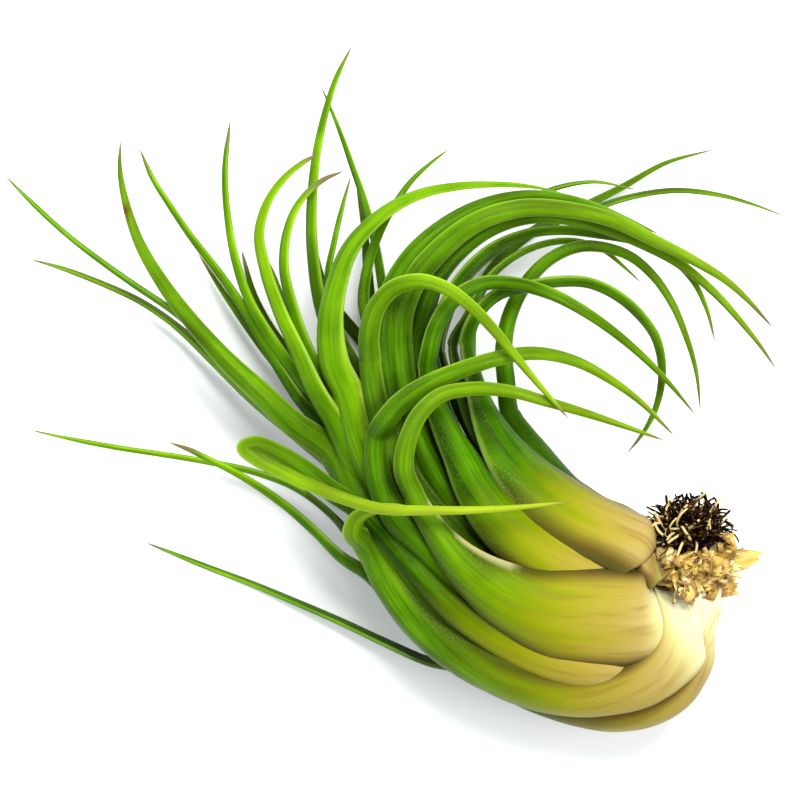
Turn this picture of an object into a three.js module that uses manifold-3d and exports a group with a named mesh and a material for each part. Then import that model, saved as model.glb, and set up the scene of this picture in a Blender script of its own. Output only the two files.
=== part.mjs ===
// A sky plant (air plant) lying on its side: a rosette of channelled leaves whose broad bases nest into
// a bulb, with a short stem inside it, and dry roots and the frayed scales of old leaves at its root end.
// Millimetres, +Z up. The origin is the middle of the small flat under the bulb that the plant rests on.

import * as THREE from "three";
import { mergeVertices } from "three/addons/utils/BufferGeometryUtils.js";
import Module from "manifold-3d";

const wasm = await Module();
wasm.setup();

// Driving dimensions
const CLEARANCE = 0.3; // open space kept between neighbouring pieces
const WIDE_CLEARANCE = 0.8; // and where leaf bases crowd together at the neck
const WELD = 1e-4; // corners nearer than this are one
const FINEST = 0.02; // edges shorter than this are closed up after a cut
const BULB_DEPTH_SHARE = 0.86; // the bulb's height over its width, as seen from above
const STEM_RADIUS = 3.6; // at the root end
const STEM_TIP_RADIUS = 2.0;
const STEM_STATIONS = [-0.55, 4.2]; // where the stem starts and ends along the plant's axis
const BLADE_THICKNESS = 0.6; // of the finest blade, and a little is added with its width
const THICKNESS_PER_WIDTH = 0.35;
const THICKEST = 1.3;
const SEAT = CLEARANCE + THICKEST / 2; // from the stem's surface to the middle of a leaf's base
const BLADE_FLARE = 1.35; // how much wider a blade is where it leaves the bulb than along its run
const STATION_STEP = 0.5; // a base's middle line is fixed to the bulb this often
const FEWEST_SECTIONS = 4.5; // a leaf gets these, one more per length and one more per turn, in radians
const LENGTH_PER_SECTION = 24;
const TURN_PER_SECTION = 0.7;
const BASE_TAPER = [0.45, 1]; // the stretch of a base over which it narrows to its blade
const CLASP_END = 0.35; // share of a base by which it spans its full spread
const FLARE_END = 0.4; // share of a blade by which its flare has gone
const TIP_SHAPE = 0.7; // under 1 a blade keeps its width longer before the tip
const EDGE_SHARE = 0.1; // extra room left past a leaf's thin edges, as a share of its half-width
const CHANNEL_SHARE = 0.35; // depth of a blade's channel over its half-width
const ROOT_END = [16.9, 6.4, 14.6]; // where the stem's broken root end stands
const ROOT_CROWN_LENGTH = 1.6;
const CROWN_RADII = [3.06, 1.8]; // at the stem and at the crown's end
const ROOT_LEANS = [12, 86]; // degrees from the way the stem points, for the first root and the last
const ROOT_SUNK = 0.9; // how far into the crown a root starts
const ROOT_COUNT = 28;
const ROOT_LENGTH = 6.0;
const ROOT_HALF = 0.36; // half a root's thickness
const COLLAR_START = 0.9; // station where the collar of old leaf bases begins
const COLLAR_WALL = 1.0;
const SCALE_COUNT = 26;
const SCALE_LENGTH = 7.5;
const SCALE_LEANS = [42, 90]; // degrees from the way the stem points
const SCALE_HALVES = [1.25, 0.55]; // half-widths at a scale's foot and at its torn end
const SCALE_THICKNESS = 0.6;
const STRAND_RINGS = 4; // sections along a root or a scale
const NARROWEST_SHEATH = 1.2; // a base's half-width is never under this
const CURVE_SAMPLES = 160; // steps in which a leaf's bends are measured
const LOOK_AHEAD = 0.05; // how far along a leaf its heading is taken from
const SCALE_SUNK = 0.45; // how far into the collar a scale starts
const COLLAR_REACH = 0.75; // how far up to the root end the collar comes, as a share
const STEM_SIDES = 12;
const CROWN_SIDES = 9;
const GOLDEN_ANGLE = Math.PI * (3 - Math.sqrt(5));
const UP = new THREE.Vector3(0, 0, 1);
const SEED = 11;

// The plant's axis, station by station from the root end to the fan of leaves:
// x, y and height of the middle of the bulb, and the bulb's half-width there.
const AXIS = [
  [17.1, 2.8, 13.0, 4.6],
  [16.2, -1.2, 12.8, 5.2],
  [13.6, -3.6, 12.5, 10.3],
  [10.0, -4.4, 12.9, 13.7],
  [4.5, -3.0, 12.85, 15.0],
  [-3.2, 0.2, 13.1, 15.7],
  [-11.0, 6.0, 13.1, 15.6],
  [-17.0, 13.5, 12.9, 14.5],
  [-21.0, 22.0, 12.6, 13.0],
  [-23.0, 31.0, 12.3, 12.0],
  [-23.5, 40.0, 12.0, 11.0],
];

// Every leaf, the outermost first. Its base follows the bulb through [station, angle, share of its radius]:
// 0 degrees is the inner side of the plant's bend, 90 faces up, 180 is the outer side, 270 is underneath.
// Its blade then runs free through [x, y, z]. spread is the base's half-width in degrees round the axis,
// clasp is how many times that it spans where it starts on the stem, and half is the blade's half-width
// once it is free.
const LEAVES = [
  // The bulb's outer bases: the broad front one, the one along the outer side, the one on the inner side,
  // and three round the underside
  {
    base: [[1.0, 78, 1], [2.4, 84, 1], [3.9, 91, 1], [4.7, 99, 1], [5.5, 102, 1], [7.1, 103, 1]],
    blade: [[-21.6, 16.5, 26.8], [-21, 20.5, 27.6], [-19.3, 24, 28], [-16.8, 26.2, 27.8], [-13, 27.1, 26.8],
      [-8, 26.9, 24.8], [-2, 25.3, 21], [4, 23.5, 17.5], [9, 21.8, 14.5], [13.5, 20.2, 12]],
    spread: 20, half: 1.45, clasp: 1.4,
  },
  {
    base: [[1.05, 122, 1], [2.2, 122, 1], [2.8, 132, 1], [3.6, 146, 1], [4.6, 153, 1], [5.6, 156, 1],
      [6.9, 149, 1]],
    blade: [[-28.2, 8, 21.5], [-27.6, 9.9, 23.3], [-25.8, 10.9, 25], [-23.5, 11.3, 26.3],
      [-20.5, 11.4, 27.4]],
    spread: 19, half: 1.5, clasp: 1.4,
  },
  {
    base: [[1.6, 34, 1], [3.1, 33, 0.98], [4.4, 35, 1], [5.5, 38, 1], [6.5, 38, 1], [7.4, 36, 1],
      [8.4, 31, 1], [9.1, 26, 1]],
    blade: [[-11.6, 37, 17], [-8.8, 39.6, 16.8], [-5, 40.6, 16.3], [-1, 41.3, 15.5], [3, 41.2, 14.5],
      [6.5, 39.8, 13.2], [9.8, 37.2, 11.8], [12.2, 34, 10.5], [13.1, 30.5, 9.2], [12.9, 26.5, 7.8],
      [12, 23.5, 6.6], [10.5, 20.8, 5.6], [8.7, 18.5, 5]],
    spread: 23, half: 1.2, clasp: 0.3,
  },
  {
    base: [[0.9, 150, 1], [1.5, 156, 1], [2.2, 161, 1], [2.9, 171, 1], [3.7, 186, 1], [4.6, 197, 1],
      [5.2, 199, 1]],
    blade: [[-18, -9.9, 6.8], [-24, -7.4, 4.4], [-30, -4.6, 2.8], [-36, -2, 1.6], [-42, 0.5, 0.5],
      [-48, 2.8, 0.2], [-56.7, 6.3, 0.3]],
    spread: 22, half: 0.95, clasp: 1.4,
  },
  {
    base: [[1, 266, 1], [2.5, 269, 1], [4.5, 270, 1], [6.2, 266, 1], [7.5, 254, 1]],
    blade: [[-27, 24, 1.3], [-33, 28, 0.9], [-38.3, 33.2, 0.6], [-41.8, 39.4, 0.55], [-43.6, 46, 0.55]],
    spread: 26, half: 1.2, clasp: 1.4,
  },
  {
    base: [[1.7, 318, 1], [3.1, 317, 0.97], [4.5, 315, 1], [6.5, 312, 1], [7.8, 305, 1]],
    blade: [[-12.5, 31, 2.4], [-12, 38, 1.3], [-9, 44, 0.7], [-4, 48.5, 0.7], [2, 51.5, 1.2], [8, 54.5, 2],
      [14, 57.8, 3], [20.4, 59.6, 3]],
    spread: 24, half: 1.0, clasp: 0.5,
  },
  // The second layer: the doubled-back leaf, the one beside the front base, the right-hand arch, and the
  // three that close the outer and lower sides
  {
    base: [[1.7, 112, 0.9], [3.2, 122, 0.89], [5.4, 130, 0.89], [6.6, 133, 0.89], [7.2, 140, 0.95]],
    blade: [[-31, 13, 20], [-36, 17.5, 20.5], [-40, 19.9, 21.5], [-42.6, 19.6, 22.8], [-41, 17.2, 24.2],
      [-36, 14.9, 25.6], [-30, 12.5, 27.2], [-25, 11.3, 28.6], [-18, 11.1, 29.6], [-9, 11.3, 30.2],
      [0.3, 12.2, 30.4]],
    spread: 15, half: 1.35, clasp: 1.4,
  },
  {
    base: [[2.0, 52, 0.9], [3.2, 58, 0.9], [4.2, 62, 0.9], [5.1, 67, 0.9], [6.5, 68, 0.9], [7.4, 65, 0.9],
      [8.2, 66, 0.9], [8.8, 65, 0.92]],
    blade: [[-17, 32.5, 21.6], [-16.3, 36, 21.8], [-14.3, 39.2, 21.6], [-11, 41, 21], [-7, 41, 20],
      [-2, 39.8, 18.4], [3, 37.2, 16.4], [7, 34.4, 14.6], [11, 31, 12.8], [14, 28, 11.2], [17.7, 23.7, 9]],
    spread: 19, half: 1.25, clasp: 0.8,
  },
  {
    base: [[2.4, 350, 0.9], [3.6, 352, 0.9], [4.6, 364, 0.92], [5.8, 374, 0.94], [6.9, 364, 1],
      [7.6, 358, 1.05]],
    blade: [[-6.9, 28, 13], [-7.8, 32.5, 13], [-7, 37.3, 12.8], [-5, 41.5, 12.4], [-1.8, 44.7, 11.8],
      [2, 46.3, 11.2], [5.5, 46.2, 10.5], [9, 45, 9.7], [12, 42.5, 8.8], [14.5, 39, 7.8], [16.5, 34.5, 6.6],
      [18, 29.5, 5.4], [18.6, 24.2, 4.4]],
    spread: 20, half: 1.05, clasp: 0.6,
  },
  {
    base: [[1.2, 165, 0.88], [2, 172, 0.9], [4.5, 174, 0.9], [6.0, 170, 0.95], [6.6, 168, 1]],
    blade: [[-30, 4.4, 14.6], [-33.3, 7.6, 13.4], [-37, 10.9, 12], [-41, 13.8, 10.6], [-44.5, 15.9, 9.4],
      [-47.5, 17.4, 8.6], [-50.5, 18.9, 8], [-53.2, 19.9, 8]],
    spread: 18, half: 1.25, clasp: 1.4,
  },
  {
    base: [[1.6, 232, 0.89], [4.5, 232, 0.89], [6.5, 226, 0.92], [7.6, 218, 1]],
    blade: [[-36, 20.5, 4.6], [-42, 25.4, 3.6], [-47, 30.2, 2.9], [-52, 35, 2.4], [-56, 38.2, 2.1]],
    spread: 20, half: 1.1, clasp: 1.4,
  },
  {
    base: [[1.6, 284, 0.89], [4.5, 287, 0.89], [6.5, 284, 0.9], [8, 278, 0.95]],
    blade: [[-22.5, 28, 1.6], [-27.5, 34, 1.1], [-32, 40, 0.6], [-33.8, 46, 0.3], [-34.1, 52, 0.3],
      [-33.6, 58, 0.5]],
    spread: 22, half: 1.0, clasp: 1.4,
  },
  // The third layer
  {
    base: [[2.2, 108, 0.8], [4.5, 113, 0.8], [6.4, 118, 0.82], [7.2, 121, 0.95], [7.7, 116, 1.0],
      [8.0, 110, 1.02]],
    blade: [[-24.2, 22.5, 25], [-22, 25.2, 25.8], [-18.5, 27.6, 26], [-14, 29.6, 25.2], [-9, 31.2, 23.3],
      [-4, 31.9, 20.8], [1, 31, 17.8], [6, 28.5, 14.6], [10.5, 25.2, 11.8], [14.8, 20.9, 9.5]],
    spread: 15, half: 1.45, clasp: 1.4,
  },
  {
    base: [[2.2, 152, 0.8], [4.5, 152, 0.8], [6.5, 148, 0.82], [7.5, 148, 0.92], [8.0, 158, 0.95]],
    blade: [[-36.5, 22.5, 17.2], [-41, 26.8, 16.2], [-45.5, 31, 14.8], [-50, 36, 13.2], [-54, 41.3, 11.8],
      [-57.3, 47, 10.4], [-59, 52, 9.4], [-59.9, 57, 8.6], [-59.8, 60.6, 8.2]],
    spread: 18, half: 2.5, clasp: 1.4,
  },
  {
    base: [[2.2, 196, 0.8], [4.5, 194, 0.8], [6.4, 190, 0.88], [7.0, 186, 0.96]],
    blade: [[-31, 9.8, 8.6], [-36, 13.6, 6.6], [-42, 15.9, 4.9], [-48, 17.2, 3.8], [-54, 18.2, 3],
      [-60, 19.1, 2.5], [-66, 20.2, 2.2], [-72.5, 21.6, 2]],
    spread: 17, half: 0.85, clasp: 1.4,
  },
  {
    base: [[2.2, 252, 0.78], [4.5, 252, 0.78], [6.5, 245, 0.8], [7.8, 236, 0.9]],
    blade: [[-33, 24, 3.6], [-39, 30.5, 3], [-44.6, 38, 2.5], [-49.5, 45.5, 2.2]],
    spread: 17, half: 1.0, clasp: 1.4,
  },
  {
    base: [[2.8, 300, 0.78], [4.5, 302, 0.76], [6.5, 300, 0.78], [8, 295, 0.8], [9, 290, 0.8]],
    blade: [[-20, 38, 3.6], [-18, 44, 3], [-13.5, 48.8, 2.7], [-7, 51.8, 2.7], [0, 52, 3]],
    spread: 17, half: 1.0, clasp: 1.4,
  },
  {
    base: [[2.9, 338, 0.75], [4.5, 338, 0.75], [6.5, 335, 0.75], [8, 330, 0.72], [9, 325, 0.7]],
    blade: [[-15.5, 37, 7.4], [-13, 42, 6.8], [-8.5, 46, 6.4], [-3, 48.8, 6.2], [3, 51, 6.4], [9, 53, 6.7],
      [15, 53.9, 7], [21, 53.3, 7.2], [26, 51.9, 7.2], [30, 50.4, 7]],
    spread: 16, half: 0.8, clasp: 0.6,
  },
  {
    base: [[2.6, 222, 0.72], [4.5, 218, 0.72], [6.5, 208, 0.78], [7.6, 200, 0.92], [8.1, 196, 1.02]],
    blade: [[-37.5, 22, 9], [-42, 25.8, 8.4], [-47, 30.6, 7.8], [-52, 35.3, 7.2], [-57, 38.8, 6.6],
      [-62.5, 41.4, 6.1], [-68, 43.5, 5.6], [-72.2, 44.7, 5.3]],
    spread: 15, half: 1.05, clasp: 1.4,
  },
  {
    base: [[2.9, 15, 0.7], [4.6, 15, 0.72], [6.5, 20, 0.75], [8, 25, 0.75], [9.1, 12, 0.75]],
    blade: [[-12.8, 37, 12.5], [-10.8, 41, 11.6], [-7.5, 44.3, 10.8], [-3, 46.5, 10], [1.5, 47, 9.3],
      [5, 46, 8.7], [8, 43.7, 8.1], [10.4, 41.5, 7.7]],
    spread: 16, half: 0.8, clasp: 0.6,
  },
  // The fourth layer
  {
    base: [[2.8, 95, 0.66], [4.5, 100, 0.66], [6.5, 106, 0.7], [8, 108, 0.86], [9, 107, 0.95]],
    blade: [[-26.3, 34, 23], [-25.2, 38, 24.6], [-22.8, 40.5, 26], [-19.5, 41.3, 27], [-16, 40.3, 27.4],
      [-13, 38.2, 27.2], [-10, 35.2, 26.5], [-7.5, 32.2, 25.4], [-4.5, 28.6, 23.6], [0.3, 23.2, 21]],
    spread: 16, half: 1.35, clasp: 1.4,
  },
  {
    base: [[2.8, 130, 0.66], [4.5, 130, 0.66], [6.5, 130, 0.7], [7.8, 131, 0.84], [8.6, 132, 0.92]],
    blade: [[-31.2, 30, 20], [-31.8, 36, 19.8], [-30.8, 41.5, 19.3], [-29, 46, 18.7], [-26.5, 49, 18.2],
      [-23, 51.7, 17.6], [-19, 53.5, 16.9], [-15, 54.3, 16.2], [-10, 54.6, 15.4], [-4, 54.2, 14.6],
      [1.5, 52.9, 13.9]],
    spread: 17, half: 1.9, clasp: 1.4,
  },
  {
    base: [[2.8, 158, 0.64], [4.5, 156, 0.62], [6.5, 150, 0.66], [7.8, 146, 0.85], [8.3, 147, 0.95]],
    blade: [[-33.6, 26.6, 18.6], [-36, 32, 18.2], [-38.4, 37.4, 17.7], [-40.3, 43, 17.2], [-41.1, 48, 16.8],
      [-40, 52, 16.6], [-38, 55, 16.4], [-35.2, 57.4, 16.2], [-32.9, 58.7, 16]],
    spread: 14, half: 1.6, clasp: 1.4,
  },
  {
    base: [[2.8, 182, 0.62], [4.5, 180, 0.6], [6.5, 174, 0.66], [7.6, 169, 0.8], [8.2, 168, 0.9]],
    blade: [[-36, 26, 13.6], [-39.8, 32, 12.8], [-43.5, 38.3, 11.9], [-47, 43.3, 11], [-50, 47.2, 10.2],
      [-53, 51.6, 9.4], [-55.5, 55.6, 8.8], [-57.2, 59.5, 8.4]],
    spread: 14, half: 1.4, clasp: 1.4,
  },
  {
    base: [[2.8, 206, 0.6], [4.5, 205, 0.58], [6.5, 196, 0.66], [7.6, 188, 0.86], [8.1, 184, 0.98]],
    blade: [[-38, 24, 11.6], [-43, 28.8, 11.2], [-48, 33.6, 10.6], [-53, 37.8, 9.9], [-58, 41.2, 9.2],
      [-62.5, 44.4, 8.6], [-67, 47.9, 8.1], [-71.5, 52, 7.6], [-75.5, 56, 7.2]],
    spread: 14, half: 1.15, clasp: 1.4,
  },
  {
    base: [[2.8, 235, 0.58], [4.5, 232, 0.56], [6.5, 222, 0.6], [8, 208, 0.7], [8.6, 200, 0.78]],
    blade: [[-34.5, 31, 8.6], [-37.4, 37.5, 8], [-39.6, 44, 7.6]],
    spread: 14, half: 0.9, clasp: 1.4,
  },
  {
    base: [[2.8, 278, 0.62], [4.5, 276, 0.6], [6.5, 272, 0.6], [8, 262, 0.6], [9, 255, 0.6]],
    blade: [[-26, 37, 5.2], [-26.5, 43, 4.6], [-27, 49, 4.3], [-28, 55, 4.2]],
    spread: 16, half: 0.9, clasp: 1.4,
  },
  // The inner leaves
  {
    base: [[3.2, 118, 0.5], [4.5, 116, 0.5], [6.5, 108, 0.56], [8, 100, 0.72], [9, 97, 0.84]],
    blade: [[-24.3, 35.5, 20.8], [-23.2, 40.5, 20.4], [-20.6, 45, 19.8], [-16.5, 48.8, 19], [-11.2, 51.7, 18],
      [-5.5, 53, 17], [0, 52.7, 15.9], [5, 51.3, 14.8], [9, 49.6, 13.8], [12.5, 48, 13]],
    spread: 15, half: 1.35, clasp: 1.4,
  },
  {
    base: [[3.2, 80, 0.5], [4.5, 80, 0.5], [6.5, 84, 0.56], [8, 86, 0.7], [9.2, 84, 0.8]],
    blade: [[-22, 37, 20.6], [-20.3, 41.3, 20.6], [-17, 45.4, 20.4], [-12, 49.3, 19.9], [-6, 51.2, 19.2],
      [0, 51.1, 18.4], [6, 49.8, 17.2], [12, 47, 15.6], [18, 44, 13.8], [22, 41.5, 12.4], [25, 38.8, 11.2],
      [28.1, 35.4, 10]],
    spread: 15, half: 1.5, clasp: 1.4,
  },
  {
    base: [[3.4, 50, 0.5], [4.6, 50, 0.52], [6.5, 58, 0.55], [8, 64, 0.56], [9.2, 60, 0.52]],
    blade: [[-19.2, 37, 16.8], [-17.5, 41, 16.8], [-14.5, 45, 16.7], [-10, 48.4, 16.5], [-4.5, 50.1, 16.1],
      [1, 49.8, 15.5], [6, 48.4, 14.6], [11, 46.3, 13.4], [15, 44.2, 12.2], [18, 42, 11.2], [21, 39.3, 10],
      [24, 36, 8.8], [27, 32.3, 7.6], [28.7, 29.8, 6.9]],
    spread: 15, half: 1.3, clasp: 1.4,
  },
  {
    base: [[3.4, 18, 0.5], [4.6, 20, 0.5], [6.5, 28, 0.5], [8, 32, 0.52], [9.2, 25, 0.55]],
    blade: [[-16, 38, 14.4], [-13.5, 42.2, 14], [-10, 45.6, 13.6], [-5, 47.8, 13.2], [0, 48.3, 12.8],
      [5, 47.7, 12.3], [9, 47, 11.8], [12, 46, 11.2], [15, 44.1, 10.4], [17.5, 41.4, 9.5], [19.2, 38, 8.6],
      [20.4, 33.6, 7.6]],
    spread: 15, half: 1.1, clasp: 0.8,
  },
  {
    base: [[3.2, 148, 0.46], [4.5, 146, 0.46], [6.5, 140, 0.54], [7.8, 142, 0.7], [8.4, 148, 0.78]],
    blade: [[-32.4, 27.5, 16.6], [-34.8, 32.5, 16.2], [-36.6, 37.8, 15.8], [-37.8, 43.5, 15.5],
      [-37.4, 48, 15.2], [-36, 51.6, 15], [-34, 54, 14.8], [-32, 55.4, 14.7], [-29.7, 56.3, 14.6]],
    spread: 14, half: 1.3, clasp: 1.4,
  },
  {
    base: [[3.2, 176, 0.42], [4.5, 172, 0.44], [6.5, 160, 0.5], [7.8, 158, 0.68], [8.4, 160, 0.8]],
    blade: [[-34, 26.5, 15.4], [-37.2, 30.5, 14.9], [-40, 34.6, 14.4], [-42.5, 39, 13.7], [-44.2, 44, 12.8],
      [-45.3, 50, 11.8], [-45.7, 56, 10.8], [-45, 63.2, 9.8]],
    spread: 14, half: 1.3, clasp: 1.4,
  },
  {
    base: [[3.4, 125, 0.36], [4.6, 128, 0.36], [6.5, 132, 0.4], [8, 138, 0.5], [8.8, 142, 0.6]],
    blade: [[-31, 33, 14.6], [-33, 38.5, 13.6], [-33.9, 44, 12.9], [-34.2, 49, 12.4], [-34, 54, 12],
      [-33.4, 59, 11.6], [-32.3, 64, 11.2], [-30.7, 69, 10.8], [-28.6, 73.3, 10.5]],
    spread: 14, half: 1.25, clasp: 1.4,
  },
  {
    base: [[3.6, 80, 0.3], [5, 84, 0.3], [7, 92, 0.36], [8.8, 100, 0.4]],
    blade: [[-26, 35, 15], [-27, 38.5, 14.2], [-26.6, 43, 13.6], [-25.2, 47.5, 13.1], [-22.8, 52, 12.6],
      [-20.5, 55.2, 12.2], [-18, 57.5, 11.9], [-15.5, 59.4, 11.7]],
    spread: 15, half: 0.9, clasp: 1.4,
  },
  {
    base: [[3.6, 180, 0.3], [5, 175, 0.3], [7, 162, 0.36], [8.6, 152, 0.4]],
    blade: [[-29.5, 33, 11.6], [-31.4, 38, 10.4], [-31.9, 42, 9.8], [-31, 47, 9.4], [-29.8, 52, 9.1],
      [-28.7, 56, 8.9]],
    spread: 15, half: 0.8, clasp: 1.4,
  },
  {
    base: [[3.4, 340, 0.44], [4.8, 342, 0.42], [6.5, 350, 0.44], [8, 352, 0.46], [9.2, 345, 0.5]],
    blade: [[-17.5, 38.5, 10.8], [-15.5, 43.5, 10.6], [-11.5, 48.3, 10.4], [-6, 52, 10.3], [-1, 54.2, 10.3],
      [4, 55, 10.3], [9.5, 54, 10.2]],
    spread: 15, half: 0.7, clasp: 0.8,
  },
  {
    base: [[3.8, 235, 0.25], [5, 225, 0.2], [7, 170, 0.16], [8.8, 130, 0.2]],
    blade: [[-24, 36, 11], [-24.6, 41, 9.6], [-25.6, 47, 8.7], [-27, 52.5, 8.1], [-28.6, 57.2, 7.7],
      [-30.1, 61.5, 7.4], [-31.6, 65.3, 7.2], [-32.9, 68.3, 7.1]],
    spread: 16, half: 0.8, clasp: 1.4,
  },
  {
    base: [[3.9, 300, 0.22], [5.2, 300, 0.2], [7, 300, 0.2], [9.2, 300, 0.22]],
    blade: [[-22.2, 38, 9.4], [-20.5, 43.5, 8.6], [-16.5, 47.5, 8], [-11, 50.3, 7.7]],
    spread: 16, half: 0.7, clasp: 1.4,
  },
];

// Cubic curve through rows of numbers given at rising knots; each tangent is the fit to its neighbours.
function along(rows, knots, at) {
  const last = rows.length - 1;
  let i = 0;
  while (i < last - 1 && at > knots[i + 1]) i += 1;
  const span = knots[i + 1] - knots[i];
  const f = (at - knots[i]) / span;
  const slope = (k) => rows[k].map((v, c) => (rows[k + 1][c] - v) / (knots[k + 1] - knots[k]));
  const tangent = (k) => {
    if (k === 0) return slope(0);
    if (k === last) return slope(last - 1);
    const before = slope(k - 1);
    const after = slope(k);
    const left = knots[k] - knots[k - 1];
    const right = knots[k + 1] - knots[k];
    return before.map((v, c) => (v * right + after[c] * left) / (left + right));
  };
  const m0 = tangent(i);
  const m1 = tangent(i + 1);
  const h01 = f * f * (3 - 2 * f);
  const h10 = f * (1 - f) * (1 - f);
  const h11 = f * f * (f - 1);
  return rows[i].map((v, c) => v * (1 - h01) + rows[i + 1][c] * h01 + span * (m0[c] * h10 + m1[c] * h11));
}

const STATIONS = AXIS.map((row, i) => i);

// The axis at a station: its point, the bulb's half-width, and the level direction to the bend's inner side.
function axisAt(station) {
  const [x, y, z, radius] = along(AXIS, STATIONS, station);
  const ahead = along(AXIS, STATIONS, station + 0.02);
  const heading = new THREE.Vector3(ahead[0] - x, ahead[1] - y, 0).normalize();
  return { middle: new THREE.Vector3(x, y, z), radius, inner: new THREE.Vector3(heading.y, -heading.x, 0) };
}

// The point at an angle round the axis and a distance from it, with the direction out of the bulb there.
function roundAxis(station, degrees, distance) {
  const { middle, inner } = axisAt(station);
  const a = THREE.MathUtils.degToRad(degrees);
  const point = middle.clone().addScaledVector(inner, distance * Math.cos(a));
  point.z += BULB_DEPTH_SHARE * distance * Math.sin(a);
  const outward = inner.clone().multiplyScalar(BULB_DEPTH_SHARE * Math.cos(a));
  outward.z = Math.sin(a);
  return { point, outward: outward.normalize() };
}

function stemRadius(station) {
  const f = THREE.MathUtils.clamp((station - STEM_STATIONS[0]) / (STEM_STATIONS[1] - STEM_STATIONS[0]), 0, 1);
  return STEM_RADIUS + (STEM_TIP_RADIUS - STEM_RADIUS) * f ** 2;
}

function thicknessOf(half) {
  return Math.min(THICKEST, BLADE_THICKNESS + THICKNESS_PER_WIDTH * half);
}

// A leaf's middle line. The base starts on the stem, flares out to its layer of the bulb and follows it;
// the blade goes on from there.
function middleLine(leaf) {
  const stations = leaf.base.map((row) => row[0]);
  const rows = leaf.base.map(([, angle, share], i) => [angle, i === 0 ? -1 : share]);
  const first = stations[0];
  const last = stations[stations.length - 1];
  const count = Math.max(3, Math.round((last - first) / STATION_STEP));
  rows[0][1] = Math.min(1, (stemRadius(first) + SEAT) / axisAt(first).radius);
  const points = [];
  const outwards = [];
  const radii = [];
  for (let i = 0; i <= count; i += 1) {
    const station = first + ((last - first) * i) / count;
    const [angle, share] = along(rows, stations, station);
    const distance = share * axisAt(station).radius - THICKEST / 2;
    const at = roundAxis(station, angle, Math.max(distance, stemRadius(station) + SEAT));
    points.push(at.point);
    outwards.push(at.outward);
    radii.push(Math.max(distance, 1));
  }
  const baseCount = points.length;
  leaf.blade.forEach((row) => points.push(new THREE.Vector3(...row)));
  const knots = [0];
  for (let i = 1; i < points.length; i += 1) knots.push(knots[i - 1] + points[i].distanceTo(points[i - 1]));
  return { rows: points.map((p) => p.toArray()), knots, outwards, radii, baseCount };
}

const smooth = (low, high, v) => THREE.MathUtils.smoothstep(v, low, high);

// Half-width at a distance along a leaf: the base spans its share of the bulb's girth, then it narrows to the
// blade, which tapers to a point.
function halfWidth(leaf, line, at) {
  const baseEnd = line.knots[line.baseCount - 1];
  const end = line.knots[line.knots.length - 1];
  if (at >= baseEnd) {
    const b = (at - baseEnd) / (end - baseEnd);
    return leaf.half * (1 + (BLADE_FLARE - 1) * (1 - smooth(0, FLARE_END, b))) * (1 - b) ** TIP_SHAPE;
  }
  const f = at / baseEnd;
  const radii = line.radii.map((r) => [r]);
  const [radius] = along(radii, line.knots.slice(0, line.baseCount), at);
  const clasp = leaf.clasp + (1 - leaf.clasp) * smooth(0, CLASP_END, f);
  const sheath = Math.max(NARROWEST_SHEATH, radius * THREE.MathUtils.degToRad(leaf.spread) * clasp);
  return sheath + (leaf.half * BLADE_FLARE - sheath) * smooth(...BASE_TAPER, f);
}

// Distances along a leaf where its sections stand: closer together where it bends.
function sectionPlaces(line) {
  const end = line.knots[line.knots.length - 1];
  const fine = CURVE_SAMPLES;
  const points = [];
  for (let i = 0; i <= fine; i += 1) {
    points.push(new THREE.Vector3(...along(line.rows, line.knots, (end * i) / fine)));
  }
  const turn = [0];
  for (let i = 1; i < fine; i += 1) {
    const a = points[i].clone().sub(points[i - 1]);
    const b = points[i + 1].clone().sub(points[i]);
    turn.push(turn[i - 1] + a.angleTo(b));
  }
  turn.push(turn[fine - 1]);
  const total = turn[fine];
  const count = Math.round(FEWEST_SECTIONS + end / LENGTH_PER_SECTION + total / TURN_PER_SECTION);
  const measure = turn.map((t, i) => (0.5 * i) / fine + (0.5 * t) / total);
  const places = [];
  let k = 0;
  for (let i = 0; i < count; i += 1) {
    const goal = i / count;
    while (measure[k + 1] < goal) k += 1;
    const f = (goal - measure[k]) / (measure[k + 1] - measure[k]);
    places.push((end * (k + f)) / fine);
  }
  return places;
}

// Where a section's corners stand across the leaf: five round its outer side, and three back inside
const OUTER_SIDE = [-1, -0.5, 0, 0.5, 1];
const INNER_SIDE = [0.5, 0, -0.5];

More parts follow.
